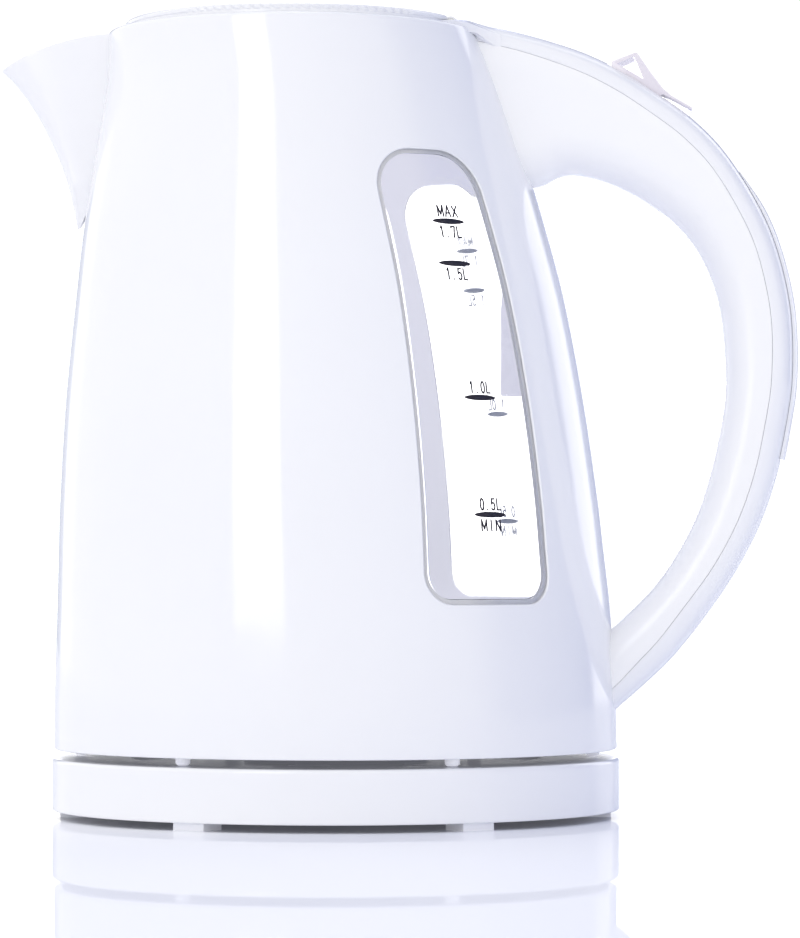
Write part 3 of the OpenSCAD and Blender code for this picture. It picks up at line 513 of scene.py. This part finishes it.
def layered(grids):
    """Closed solid: first and last grid are its two faces, and the ones between give its edge."""
    n, m = grids[0].shape[:2]
    B = border(n, m)
    verts = list(grids[0].reshape(-1, 3))
    f = [(i * m + j, i * m + j + 1, (i + 1) * m + j + 1, (i + 1) * m + j) for i in range(n - 1) for j in range(m - 1)]
    prev = [i * m + j for i, j in B]
    for G in grids[1:-1]:
        cur = list(range(len(verts), len(verts) + len(B)))
        verts += [G[i, j] for i, j in B]
        for k in range(len(B)):
            k2 = (k + 1) % len(B)
            f.append((prev[k], prev[k2], cur[k2], cur[k]))
        prev = cur
    base = len(verts)
    verts += list(grids[-1].reshape(-1, 3))
    cur = [base + i * m + j for i, j in B]
    for k in range(len(B)):
        k2 = (k + 1) % len(B)
        f.append((prev[k], prev[k2], cur[k2], cur[k]))
    f += [(base + i * m + j, base + (i + 1) * m + j, base + (i + 1) * m + j + 1, base + i * m + j + 1)
          for i in range(n - 1) for j in range(m - 1)]
    return np.array(verts), f


shell = new_object("jug_body", *ring(jug_profile(), SEG), WHITE, smooth=False)
for s in (-1, 1):
    cut = new_object("cut", *layered([win_grid(s, 0.6, 14), win_grid(s, 0.6, 0.2), win_grid(s, 0.34, 0.0), win_grid(s, 0.11, -0.18),
        win_grid(s, 0.0, -0.42), win_grid(s, 0.0, -1.5), win_grid(s, -1.3, -1.5), win_grid(s, -1.3, -9)]), smooth=False)
    boolean(shell, "DIFFERENCE", cut)
# slot behind the spout, hinge recess, steam hole, wire hole
slot = new_object("cut", *box((-85, -7.5, 192.4), (-55, 7.5, 212)), smooth=False)
boolean(shell, "DIFFERENCE", slot, new_object("cut", *rod((-85, 0, 192.4), (-55, 0, 192.4), 7.5), smooth=False),
    new_object("cut", *box((29.4, -18.2, 217.8), (36.6, 18.2, 224)), smooth=False),
    new_object("cut", *rod((44, 0, 189), (58, 0, 189), 3.0), smooth=False),
    new_object("cut", *rod((70, 0, 40), (84, 0, 40), 3.5), smooth=False))
tidy(shell, 1e-6)
shade(shell, 24)
shell.data.materials.append(SHELL_IN)
for f in shell.data.polygons:
    x, y, z = f.center.x / MM - AX, f.center.y / MM, f.center.z / MM
    if 58.2 < z < 217 and math.hypot(x - float(jc(z)), y) < float(jr(z)) - WALL + 0.15:
        f.material_index = 1
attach(shell, "kettle")
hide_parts("body_skirt", "body_shell", "body_top", "body_rim")

for s, side in ((-1, "right"), (1, "left")):
    w = WALL
    pane = new_object("window_pane_" + side, *layered([win_grid(s, -0.22, -0.42), win_grid(s, 0.0, -0.5), win_grid(s, 0.03, -0.6),
        win_grid(s, 0.03, -1.46), win_grid(s, -1.27, -1.46), win_grid(s, -1.27, -w - 0.15), win_grid(s, -1.4, -w - 0.3)]), CLEAR)
    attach(pane, "kettle")
    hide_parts("window_" + side)

# ------------------------------------------------------------------ level marks
def arc(cx, cy, rx, ry, a0, a1, n=14):
    return [(cx + rx * math.cos(math.radians(a)), cy + ry * math.sin(math.radians(a))) for a in np.linspace(a0, a1, n)]


GLYPH = {
    "M": [[(0.04, 0), (0.04, 1), (0.5, 0.18), (0.96, 1), (0.96, 0)]],
    "A": [[(0.02, 0), (0.5, 1), (0.98, 0)], [(0.2, 0.34), (0.8, 0.34)]],
    "X": [[(0.04, 0), (0.96, 1)], [(0.04, 1), (0.96, 0)]],
    "I": [[(0.5, 0), (0.5, 1)]],
    "N": [[(0.1, 0), (0.1, 1), (0.9, 0), (0.9, 1)]],
    "L": [[(0.12, 1), (0.12, 0.02), (0.92, 0.02)]],
    "1": [[(0.26, 0.8), (0.5, 1.0), (0.5, 0)]],
    "7": [[(0.1, 0.84), (0.1, 0.98), (0.88, 0.98), (0.66, 0.5), (0.52, 0)]],
    "5": [[(0.86, 0.98), (0.22, 0.98), (0.14, 0.54)] + arc(0.46, 0.33, 0.4, 0.31, 140, -150, 16)],
    "0": [arc(0.5, 0.5, 0.37, 0.49, 90, 450, 28)],
    ".": [[(0.3, 0.03), (0.42, 0.03)]],
}


def ribbon(path, half):
    """Flat outline pieces of a stroke: one quad per stretch, with round-ish joints."""
    quads = []
    P = [np.array(p, float) for p in path]
    for a, b in zip(P[:-1], P[1:]):
        d = b - a
        L_ = np.linalg.norm(d)
        if L_ < 1e-9:
            continue
        d /= L_
        n = np.array([-d[1], d[0]]) * half
        e = d * half * 0.55
        quads.append([a - e + n, a - e - n, b + e - n, b + e + n])
    return quads


def mark_parts(text, u0, v0, cap=3.05, width=1.75, pitch=2.35, half=0.23):
    out = []
    if len(text) > 3:
        width, pitch = 1.45, 1.85
    total = pitch * (len(text) - 1) + width
    for k, ch in enumerate(text):
        x = u0 - total / 2 + k * pitch
        for st in GLYPH[ch]:
            out += ribbon([(x + px * width, v0 + py * cap) for px, py in st], half)
    return out


def lens(u0, v0, hl=5.3, hh=0.8, n=30):
    up = [(u0 + hl * math.cos(a), v0 + hh * math.sin(a) ** 1.15) for a in np.linspace(0, math.pi, n)]
    dn = [(u0 + hl * math.cos(a), v0 - hh * abs(math.sin(a)) ** 1.15) for a in np.linspace(math.pi, 2 * math.pi, n)]
    return [np.array(p) for p in up + dn[1:-1]]


LEVELS = [(163.1, 51.6, "MAX", "1.7L"), (151.6, 52.0, None, "1.5L"), (115.4, 50.2, "1.0L", None), (84.0, 50.7, "0.5L", "MIN")]


def stamp(polys, f0, z0, o=-0.36, th=0.12):
    """Wraps flat outlines on the window's face as thin raised ink."""
    verts, faces = [], []
    for poly in polys:
        n = len(poly)
        b = len(verts)
        for k in (0, 1):
            for u, v in poly:
                z = z0 + v
                r = float(jr(z)) + o - th * k
                f = math.radians(f0) + u / float(jr(z))
                verts.append((float(jc(z)) + r * math.cos(f), r * math.sin(f), z))
        faces.append(tuple(range(b, b + n)))
        faces.append(tuple(range(b + 2 * n - 1, b + n - 1, -1)))
        faces += [(b + i, b + n + i, b + n + (i + 1) % n, b + (i + 1) % n) for i in range(n)]
    return verts, faces


for s, side in ((-1, "right"), (1, "left")):
    V, F = [], []
    for z, f0, above, below in LEVELS:
        far = 1 if s > 0 else 0
        f0 = s * f0 - 1.5 * far
        z -= 0.6 * far
        polys = [lens(0, 0, 5.3 - 0.7 * far)]
        if above:
            polys += mark_parts(above, 0.25, 1.25)
        if below:
            polys += mark_parts(below, 0.0, -1.35 - 3.05)
        v, f = stamp(polys, f0, z)
        F += [tuple(i + len(V) for i in q) for q in f]
        V += v
    marks = new_object("level_marks_" + side, V, F, INK, smooth=False)
    marks.data.materials.append(INK_BACK)
    for f in marks.data.polygons:
        x, y = f.center.x / MM - AX - float(jc(f.center.z / MM)), f.center.y / MM
        if f.normal.x * x + f.normal.y * y < -0.5 * math.hypot(x, y):
            f.material_index = 1
    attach(marks, "kettle")

# ------------------------------------------------------------------ spout
SINK = -0.5  # the beak's edge sits this far into the jug's wall


def spout_grid(w, v0, nv, nt_):
    G = []
    for i in range(nv + 1):
        v = v0 + (1 - v0) * i / nv
        nx = float(cub(NOSE, 1, v * 6)) + w
        nz = float(cub(NOSE, 2, v * 6))
        hh = 0.55 + 11.95 * v ** 0.66
        h = hh - w
        rn = min(3.4, 0.75 * hh) - w * 0.9
        zr = 165.8 + (219.2 - 165.8) * v ** 0.92
        away = 2.2 * min(1.0, max(0.0, (171.8 - zr) / 6))  # the lowest point stands clear of the wall
        xr = float(wall_nx(h, zr, SINK)) - away
        row = []
        for j in range(-nt_, nt_ + 1):
            t = j / nt_
            q = abs(t)
            sg = (t > 0) - (t < 0)
            y = sg * (rn * math.sin(math.radians(90 * min(1, q * 2.5))) + (h - rn) * q ** 2.3)
            u = q ** 1.5
            z = nz + (zr - nz) * (1 - (1 - u) ** 2.2)
            x = float(wall_nx(y, z, SINK)) - away if q >= 1 else nx + (xr - nx) * u
            row.append((x, y, z))
        G.append(row)
    return np.array(G)


spout = new_object("spout_beak", *skin(spout_grid(0, 0, 56, 40), spout_grid(2.1, 0.1, 56, 40)), SPOUT_WHITE, smooth=False)
bevel(spout, 0.35, 3, 50)
shade(spout, 30)
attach(spout, "kettle")
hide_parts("spout")

# ------------------------------------------------------------------ handle
def h_half(t):
    return (12.5 + 0.0 * t) if t < 8 else 12.5 + (10.5 - 12.5) * float(ease((t - 8) / 12))


def h_w(t, d, l):
    ri, ro = min(l / 2, 11), min(l / 2, 8)
    qi = 1 - min(max(d / ri, 0), 1)
    qo = 1 - min(max((l - d) / ro, 0), 1)
    return h_half(t) * min(max(0, 1 - qi ** 2.2) ** (1 / 2.2), max(0, 1 - qo ** 3) ** (1 / 3))


class Section:
    def __init__(self, t):
        self.t = t
        self.o = np.array([float(cub(GRIP, 1, t)), float(cub(GRIP, 2, t))])
        self.i = np.array([float(cub(GRIP, 3, t)), float(cub(GRIP, 4, t))])
        self.l = float(np.linalg.norm(self.o - self.i))
        self.u = (self.o - self.i) / self.l

    def pt(self, d, s, w):
        c = self.i + self.u * d
        return np.array([c[0], s * max(0.0, h_w(self.t, d, self.l) - w), c[1]])


def clamp_wall(p, g, hug):
    x = float(wall_px(p[1], p[2], g))
    if hug and p[2] < 100:
        p = (x, p[1], p[2] - 0.86 * max(0.0, p[0] - x))
        return p
    return (x if hug else max(p[0], x), p[1], p[2])


HN = 176


def inner_section(t, hug, w=H_WALL):
    S = Section(t)
    l = S.l
    ls = l - COVER_D - 0.06
    ri = min(l / 2, 11)
    side = [ls - 0.4] + [ls - 0.4 + (ri - ls + 0.4) * k / 5 for k in range(1, 5)]
    low = [ri * (1 - math.cos(math.radians(a)) ** (1 / 1.1)) for a in np.linspace(88, 6, 16)]
    ds = side + low
    out = [S.pt(ls - 0.01, 1, 0.17), S.pt(ls - 0.07, 1, 0.07)] + [S.pt(d, 1, 0) for d in ds] + [S.pt(0, 0, 0)]
    out += [S.pt(d, -1, 0) for d in ds[::-1]] + [S.pt(ls - 0.07, -1, 0.07), S.pt(ls - 0.01, -1, 0.17)]
    inn = [S.pt(ls, 1, w), S.pt(ls - 0.1, 1, w)] + [S.pt(d + w * (ls - 0.4 - d) / max(ls - 0.4, 1e-6), 1, w) for d in ds] + [S.pt(w, 0, 0)]
    inn += [S.pt(d + w * (ls - 0.4 - d) / max(ls - 0.4, 1e-6), -1, w) for d in ds[::-1]] + [S.pt(ls - 0.1, -1, w), S.pt(ls, -1, w)]
    return [clamp_wall(p, -0.35, hug) for p in out + inn[::-1]]


def cover_section(t, hug, w=H_WALL):
    S = Section(t)
    l = S.l
    ro = min(l / 2, 8)
    dd = [COVER_D - 0.35, COVER_D * 0.8, COVER_D * 0.66] + [ro * (1 - math.cos(math.radians(a)) ** (2 / 3)) * 0.6 for a in np.linspace(80, 4, 18)]
    dd = sorted(set(round(x, 5) for x in dd), reverse=True)
    out = [S.pt(l - COVER_D + 0.01, 1, 0.15), S.pt(l - COVER_D + 0.06, 1, 0.06)] + [S.pt(l - d, 1, 0) for d in dd] + [S.pt(l, 0, 0)]
    out += [S.pt(l - d, -1, 0) for d in dd[::-1]] + [S.pt(l - COVER_D + 0.06, -1, 0.06), S.pt(l - COVER_D + 0.01, -1, 0.15)]
    inn = [S.pt(l - COVER_D, 1, w), S.pt(l - COVER_D + 0.1, 1, w)] + [S.pt(l - max(d, w), 1, w) for d in dd] + [S.pt(l - w, 0, 0)]
    inn += [S.pt(l - max(d, w), -1, w) for d in dd[::-1]] + [S.pt(l - COVER_D + 0.1, -1, w), S.pt(l - COVER_D, -1, w)]
    return [clamp_wall(p, -0.35, hug) for p in out + inn[::-1]]


ts = [20 * k / HN for k in range(HN + 1)]
grip_in = new_object("handle_shell", *loops([inner_section(t, k in (0, HN)) for k, t in enumerate(ts)]), GRIP_IN, smooth=False)
shade(grip_in, 40)
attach(grip_in, "kettle")
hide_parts("handle_inner")

LID_X = float(jc(RIM_Z))


def tongue_grid(low, n=28, m=24):
    G = []
    for k in range(n + 1):
        f = k / n
        hw = 12.4 + 10.4 * (1 - f) ** 1.9
        row = []
        for j in range(-m, m + 1):
            s = j / m
            y = hw * s
            xa = LID_X + math.sqrt(48.4**2 - y * y)
            x = xa + (47 - xa) * f
            crown = 8 * (1 - (1 - min(1.0, abs(s)) ** 3) ** (1 / 3))
            drop = (0.9 * abs(s) ** 5) * (1 - float(ease(f))) + min(crown, 2.4) * float(ease(f))
            top = 222.3 - 0.19 * max(0, x - 38) - drop - 0.5 * (1 - f) ** 12
            past = x - float(wall_px(y, 219.0, 0.0))
            skirt = 1.5 * float(ease((past + 0.9) / 1.0)) + 1.8 * float(ease((past - 0.1) / 1.6)) * (1 - float(ease((abs(y) - 11.6) / 3.6)))
            row.append((x, y, min(RIM_Z - 0.2, top - 0.6) - skirt if low else top))
        G.append(row)
    return np.array(G)


cover = new_object("handle_cover_shell", *loops([cover_section(t, k in (0, HN)) for k, t in enumerate(ts)]), WHITE, smooth=False)
tongue = new_object("tongue", *skin(tongue_grid(False), tongue_grid(True)), smooth=False)
boolean(tongue, "DIFFERENCE", new_object("cut", *box((30, -17.5, 218), (35.5, 17.5, 224)), smooth=False))
bevel(tongue, 0.3, 2, 50)
boolean(cover, "UNION", tongue)
SW_X, SW_Z, SW_TILT = 87.1, 198.9, 34
bv, bf = box((-15.6, -7.5, 0), (3.2, 7.5, 12))
boolean(cover, "DIFFERENCE", new_object("cut", tilt(bv, SW_X, SW_Z, SW_TILT), bf, smooth=False))
tidy(cover, 1e-6)
shade(cover, 40)
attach(cover, "kettle")
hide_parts("handle_cover")

# ------------------------------------------------------------------ switch lever
def prism(poly, y0, y1):
    n = len(poly)
    v = [(x, y, z) for y in (y0, y1) for x, z in poly]
    return tilt(v, SW_X, SW_Z, SW_TILT), [tuple(range(n)), tuple(range(2 * n - 1, n - 1, -1))] + [(i, n + i, n + (i + 1) % n, (i + 1) % n) for i in range(n)]


LEV_OUT = [(-14.5, 4.9), (-10.5, 10.6), (-9.7, 10.6), (-4.0, 8.3), (1.6, 6.4), (4.6, 6.05), (11.35, 6.49), (11.35, 6.03), (5.0, 5.5), (2.3, 5.0), (1.7, 3.6), (-13.4, 2.9)]
LEV_IN = [(-13.0, 5.15), (-10.3, 9.3), (-9.95, 9.4), (-7.5, 7.6), (-4.4, 5.65)]
lever = new_object("switch_lever_cap", *prism(LEV_OUT, -7.0, 7.0), smooth=False)
bevel(lever, 0.18, 2, 30)
boolean(lever, "DIFFERENCE", new_object("cut", *prism(LEV_IN, -8, 8), smooth=False))
for s in (-1, 1):
    lug = new_object("lug", *prism([(-1.9, 0.0), (-1.9, 5.2), (1.9, 5.4), (1.9, 0.0)], s * 5.6 - 0.6, s * 5.6 + 0.6), smooth=False)
    pa, pb = (tilt([(0, s * 5.6 + k * 0.6, 0)], SW_X, SW_Z, SW_TILT)[0] for k in (-1, 1))
    boolean(lug, "UNION", new_object("k", *rod(pa, pb, 1.9), smooth=False))
    boolean(lever, "UNION", lug)
pa, pb = (tilt([(0, y, 0)], SW_X, SW_Z, SW_TILT)[0] for y in (-10, 10))
boolean(lever, "DIFFERENCE", new_object("cut", *rod(pa, pb, 1.05), smooth=False))
lever.data.materials.append(LEVER_EDGE)
tidy(lever, 1e-6)
shade(lever, 30)
cx = sum(p[0] for p in LEV_IN) / len(LEV_IN)
cz = sum(p[1] for p in LEV_IN) / len(LEV_IN)
LEV_PANE = [(cx + (x - cx) * 1.08, cz + (z - cz) * 1.08) for x, z in LEV_IN]
for s, side in ((-1, "right"), (1, "left")):
    pane = new_object("lever_side_" + side, *prism(LEV_PANE, s * 6.35 - 0.25, s * 6.35 + 0.25), LEVER, smooth=False)
    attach(pane, "switch")
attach(lever, "switch")
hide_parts("switch_lever")

# raised strip on the handle's back
def strip_grid(up, n=80, m=14):
    t0, t1 = 7.6, 13.65
    G = []
    for k in range(n + 1):
        t = t0 + (t1 - t0) * k / n
        S = Section(t)
        p = STRIP * float(ease((t - 7.3) / 1.4)) * up
        row = []
        for j in range(-m, m + 1):
            y = j / m * 6.4
            d = 8 * (1 - (1 - (abs(y) / h_half(t)) ** 3) ** (1 / 3))
            c = S.i + S.u * (S.l - d + 0.1 + p * (1 - 0.25 * abs(j / m) ** 4))
            row.append((c[0], y, c[1]))
        G.append(row)
    return np.array(G)


strip = new_object("handle_back_strip", *skin(strip_grid(1), strip_grid(0)), WHITE, smooth=False)
bevel(strip, 0.3, 3, 50)
shade(strip, 35)
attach(strip, "kettle")
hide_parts("handle_strip")

# ------------------------------------------------------------------ lid
def lid_profile():
    c = LID_R
    return [(0, 220.9), (42.4, 220.9), (43.2, 220.4), (c - 0.55, 220.4), (c - 0.28, 220.5), (c - 0.2, 220.75), (c - 0.2, 221.25),
        (c - 0.3, 221.4), (c - 0.3, 221.42), (c - 0.3, 221.75), (c - 0.3, 222.1), (c - 0.3, 222.45), (c - 0.35, 222.72), (c - 0.65, 222.93), (c - 1.0, 223.0), (45.2, 223.0),
        (43.9, 222.96), (42.6, 222.72), (41.4, 222.47), (40.2, 222.36), (30, 222.27), (18, 222.22), (8, 222.2), (0, 222.2)]


RIBS = 108
NR = RIBS * 8
lv, lf = revolve(lid_profile(), NR, LID_X)
lv = np.array(lv, float)
rr_ = np.hypot(lv[:, 0] - LID_X, lv[:, 1])
an = np.arctan2(lv[:, 1], lv[:, 0] - LID_X)
zz = lv[:, 2]
band = np.clip((zz - 221.41) / 0.1, 0, 1) * np.clip((222.8 - zz) / 0.2, 0, 1) * (rr_ > LID_R - 1.2)
ph = an * RIBS + (zz - 221.4) * 2.6
saw = 0.5 + 0.5 * np.cos(ph)
zone = np.clip((np.degrees(np.abs(an)) - 42) / 1.5, 0, 1) * np.clip((123 - np.degrees(np.abs(an))) / 1.5, 0, 1)
dr = band * (0.3 - 0.55 * zone * (1 - saw) ** 1.5)
lv[:, 0] += np.cos(an) * dr
lv[:, 1] += np.sin(an) * dr
lid = new_object("lid_cap", lv, lf, WHITE, smooth=False)
for s in (-1, 1):
    boolean(lid, "DIFFERENCE", new_object("cut", *box((30.6, s * 15.8 - 1.8, 219), (38.6, s * 15.8 + 1.8, 225)), smooth=False))
boolean(lid, "UNION", new_object("k", *rod((HINGE_X, -13.7, HINGE_Z), (HINGE_X, 13.7, HINGE_Z), 1.95), smooth=False))
boolean(lid, "DIFFERENCE", new_object("cut", *rod((HINGE_X, -20, HINGE_Z), (HINGE_X, 20, HINGE_Z), 1.25), smooth=False))
tidy(lid, 1e-6)
shade(lid, 38)
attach(lid, "lid")
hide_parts("lid_cover")

# ------------------------------------------------------------------ power base
def base_profile():
    t, R, z0 = 16.8, 79.4, 2.2
    P = [(20.4, t - 4.0), (18.5, t - 4.0), (18.2, t - 3.7), (18.2, t - 0.1), (18.5, t + 0.2), (24.2, t + 0.2), (24.6, t + 0.12), (26, t - 1.2), (41, t - 1.2), (55.6, t - 1.2), (56.2, t - 1.08), (57.8, t - 0.08), (58.4, t), (68, t)]
    P += [(R - 1 + math.sin(math.radians(a)), t - 1 + math.cos(math.radians(a))) for a in np.linspace(0, 90, 8)]
    P += [(R, z) for z in np.linspace(t - 2.0, z0 + 1.2, 6)]
    P += [(R - 0.5 + 0.5 * math.cos(math.radians(a)), z0 + 0.5 - 0.5 * math.sin(math.radians(a))) for a in np.linspace(0, 90, 5)]
    P += [(R - 2.0, z0), (R - 2.2, z0 + 0.2), (R - 2.2, t - 3.8), (R - 3.8, t - 2.2), (59, t - 2.2), (57, t - 3.4), (27, t - 3.4), (26, t - 2.4), (20.4, t - 2.4)]
    return [(r, z, 0.0) for r, z in P]


base = new_object("base_shell", *ring(base_profile(), 256), WHITE, smooth=False)
boolean(base, "DIFFERENCE", new_object("cut", *box((-6.6, 71.4, 1.2), (6.6, 83.4, 14.3)), smooth=False))
for k in range(3):
    a = math.radians(30 + 120 * k)
    bx, by = 60 * math.cos(a), 60 * math.sin(a)
    post = new_object("post", *rod((bx, by, 4.7), (bx, by, 15.1), 4.0), smooth=False)
    boolean(base, "UNION", post)
    boolean(base, "DIFFERENCE", new_object("cut", *rod((bx, by, 4.0), (bx, by, 11.5), 1.35), smooth=False))
tidy(base, 1e-6)
shade(base, 30)
# the base's upward faces inside its rim take the grey that paints the shade under the jug
base.data.materials.append(TOP_PAINTED_SHADE)
for f in base.data.polygons:
    if f.normal.z > 0.7 and f.center.z > 0.014 and math.hypot(f.center.x / MM - AX, f.center.y / MM) < 78.5:
        f.material_index = 1
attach(base, "base")
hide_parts("base_top")

# ------------------------------------------------------------------ materials of the CAD nodes
LOOK = {"base_bottom": UNDER, "base_feet": FEET, "base_socket": WHITE_IN, "base_contacts": BRASS, "base_screws": SCREW,
    "cord_gland": WHITE, "cord_clamp": WHITE_IN, "connector_housing": WHITE_IN, "connector_pins": BRASS, "bottom_cover": UNDER, "kettle_feet": FEET_UP,
    "bottom_screws": SCREW, "clamp_ring": WHITE_IN, "clamp_screws": SCREW, "heater_plate": STEEL, "heater_seal": SEAL,
    "heat_spreader": ALU, "heating_element": ELEMENT, "thermostat_control": BLACK, "bimetal_discs": BRASS, "control_screws": SCREW,
    "steam_duct": DUCT, "filter_frame": WHITE, "filter_mesh": MESH, "handle_wires": WIRE, "switch_housing": WHITE_IN,
    "switch_pin": SCREW, "steam_bimetal": BRASS, "indicator_lamp": LAMP, "lid_bracket": WHITE,
    "lid_pin": SCREW, "lid_inner": WHITE_IN, "lid_seal": SEAL}
for name, mat in LOOK.items():
    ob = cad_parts.get(name)
    if ob is None:
        continue
    for sl in ob.material_slots:
        sl.material = mat

# ------------------------------------------------------------------ stage
def floor_material():
    """Pale glossy sheet: mostly diffuse white with a clear reflection."""
    m, nt, out = nodes_of("pale_floor")
    N, L = nt.nodes.new, nt.links.new
    df = N("ShaderNodeBsdfDiffuse"); df.inputs["Color"].default_value = (0.745, 0.76, 0.83, 1)
    gl = N("ShaderNodeBsdfGlossy"); gl.inputs["Roughness"].default_value = 0.02; gl.inputs["Color"].default_value = (0.20, 0.196, 0.175, 1)
    ad = N("ShaderNodeAddShader")
    L(df.outputs[0], ad.inputs[0]); L(gl.outputs[0], ad.inputs[1]); L(ad.outputs[0], out.inputs[0])
    return m


fv, ff = [], []
NF = 40
for i in range(NF + 1):
    for j in range(NF + 1):
        fv.append(((i / NF - 0.5) * 6, (j / NF - 0.5) * 6, 0.0))
ff = [(i * (NF + 1) + j, (i + 1) * (NF + 1) + j, (i + 1) * (NF + 1) + j + 1, i * (NF + 1) + j + 1) for i in range(NF) for j in range(NF)]
fme = bpy.data.meshes.new("floor")
fme.from_pydata(fv, [], ff)
floor = bpy.data.objects.new("floor", fme)
bpy.context.scene.collection.objects.link(floor)
fme.materials.append(floor_material())

CAM_AZ = math.radians(3.7)
TO_CAM = Vector((math.sin(CAM_AZ), -math.cos(CAM_AZ), 0))
RIGHT = Vector((math.cos(CAM_AZ), math.sin(CAM_AZ), 0))
AXIS = Vector((AX * MM, 0, 0))


# Studio round the object, by direction: (degrees from the camera's side, positive to the right; colour)
STUDIO = [(-180, (2.4, 2.4, 2.4)), (-173, (2.4, 2.4, 2.4)), (-170, (0.50, 0.54, 0.66)), (-156, (0.50, 0.54, 0.66)), (-153, (1.25, 1.25, 1.25)),
    (-143, (1.25, 1.25, 1.25)), (-135, (1.03, 1.02, 1.01)), (-60, (1.0, 0.99, 0.97)), (58, (1.0, 0.99, 0.97)), (74, (0.17, 0.22, 0.46)), (129, (0.17, 0.22, 0.46)),
    (134, (1.6, 1.6, 1.66)), (150, (1.6, 1.6, 1.66)), (155, (0.36, 0.40, 0.58)), (173, (0.36, 0.40, 0.58)), (175.5, (2.4, 2.4, 2.4)), (180, (2.4, 2.4, 2.4))]
LEVEL = 1.125
TOP = 2.5
world = bpy.data.worlds.new("studio")
bpy.context.scene.world = world
world.use_nodes = True
wt = world.node_tree
wt.nodes.clear()
N, L = wt.nodes.new, wt.links.new
wo = N("ShaderNodeOutputWorld")
tc = N("ShaderNodeTexCoord")
dots = []
for v in (RIGHT, TO_CAM):
    d = N("ShaderNodeVectorMath"); d.operation = "DOT_PRODUCT"; d.inputs[1].default_value = v
    L(tc.outputs["Generated"], d.inputs[0]); dots.append(d)
at = N("ShaderNodeMath"); at.operation = "ARCTAN2"
L(dots[0].outputs["Value"], at.inputs[0]); L(dots[1].outputs["Value"], at.inputs[1])
mr = N("ShaderNodeMapRange"); mr.inputs["From Min"].default_value = -math.pi; mr.inputs["From Max"].default_value = math.pi
L(at.outputs[0], mr.inputs["Value"])
ramp = N("ShaderNodeValToRGB")
L(mr.outputs["Result"], ramp.inputs["Fac"])
e = ramp.color_ramp.elements
e[0].position, e[0].color = 0.0, (*[c / TOP for c in STUDIO[0][1]], 1)
e[1].position, e[1].color = 1.0, (*[c / TOP for c in STUDIO[-1][1]], 1)
for deg, c in STUDIO[1:-1]:
    k = e.new((deg + 180) / 360)
    k.color = (*[x / TOP for x in c], 1)
bg = N("ShaderNodeBackground"); bg.inputs["Strength"].default_value = LEVEL * TOP
# behind the object the studio is darker above eye level, up to a white ceiling
sepz = N("ShaderNodeSeparateXYZ"); L(tc.outputs["Generated"], sepz.inputs[0])
up = N("ShaderNodeValToRGB"); L(sepz.outputs["Z"], up.inputs["Fac"])
ue = up.color_ramp.elements
ue[0].position, ue[0].color = 0.14, (1, 1, 1, 1)
ue[1].position, ue[1].color = 0.92, (1, 1, 1, 1)
for pos, c in ((0.19, (0.22, 0.25, 0.38)), (0.78, (0.22, 0.25, 0.38))):
    k = ue.new(pos); k.color = (*c, 1)
rear = N("ShaderNodeMapRange"); rear.inputs["From Min"].default_value = -0.84; rear.inputs["From Max"].default_value = -0.93
L(dots[1].outputs["Value"], rear.inputs["Value"])
mulc = N("ShaderNodeMix"); mulc.data_type = "RGBA"; mulc.blend_type = "MULTIPLY"
L(rear.outputs["Result"], mulc.inputs["Factor"]); L(ramp.outputs["Color"], mulc.inputs["A"]); L(up.outputs["Color"], mulc.inputs["B"])
L(mulc.outputs["Result"], bg.inputs["Color"])
bg_cam = N("ShaderNodeBackground"); bg_cam.inputs["Color"].default_value = (1, 1, 1, 1); bg_cam.inputs["Strength"].default_value = 1.1
lp = N("ShaderNodeLightPath")
mix = N("ShaderNodeMixShader")
L(lp.outputs["Is Camera Ray"], mix.inputs["Fac"]); L(bg.outputs[0], mix.inputs[1]); L(bg_cam.outputs[0], mix.inputs[2]); L(mix.outputs[0], wo.inputs[0])


def area(name, az, dist, z, sx_, sy_, power, color=(1, 1, 1), aim_z=0.11):
    """Area light at azimuth az degrees from the camera's side, positive to the right."""
    a = math.radians(az)
    d = TO_CAM * math.cos(a) + RIGHT * math.sin(a)
    ld = bpy.data.lights.new(name, "AREA")
    ld.shape = "RECTANGLE"; ld.size = sx_; ld.size_y = sy_; ld.energy = power; ld.color = color
    ob = bpy.data.objects.new(name, ld)
    ob.location = AXIS + d * dist + Vector((0, 0, z))
    tgt = AXIS + Vector((0, 0, aim_z if aim_z is not None else z))
    ob.rotation_euler = (tgt - ob.location).to_track_quat("-Z", "Y").to_euler()
    bpy.context.scene.collection.objects.link(ob)
    return ob


key = area("strip_left", -28.5, 1.0, 0.72, 0.36, 1.2, 3.4, aim_z=0.72)
key.visible_diffuse = False

cam_d = bpy.data.cameras.new("camera")
cam_d.lens = 163.73
cam_d.sensor_width = 36.0
cam_d.clip_start, cam_d.clip_end = 0.05, 50
cam = bpy.data.objects.new("camera", cam_d)
cam.location = AXIS + TO_CAM * 1.2 + RIGHT * 0.018 + Vector((0, 0, 0.0719))
pitch = math.radians(1.222)
look = -TO_CAM * math.cos(pitch) + Vector((0, 0, math.sin(pitch)))
cam.rotation_euler = look.to_track_quat("-Z", "Y").to_euler()
bpy.context.scene.collection.objects.link(cam)
bpy.context.scene.camera = cam
bpy.context.scene.view_settings.view_transform = "Standard"
bpy.context.scene.view_settings.look = "None"
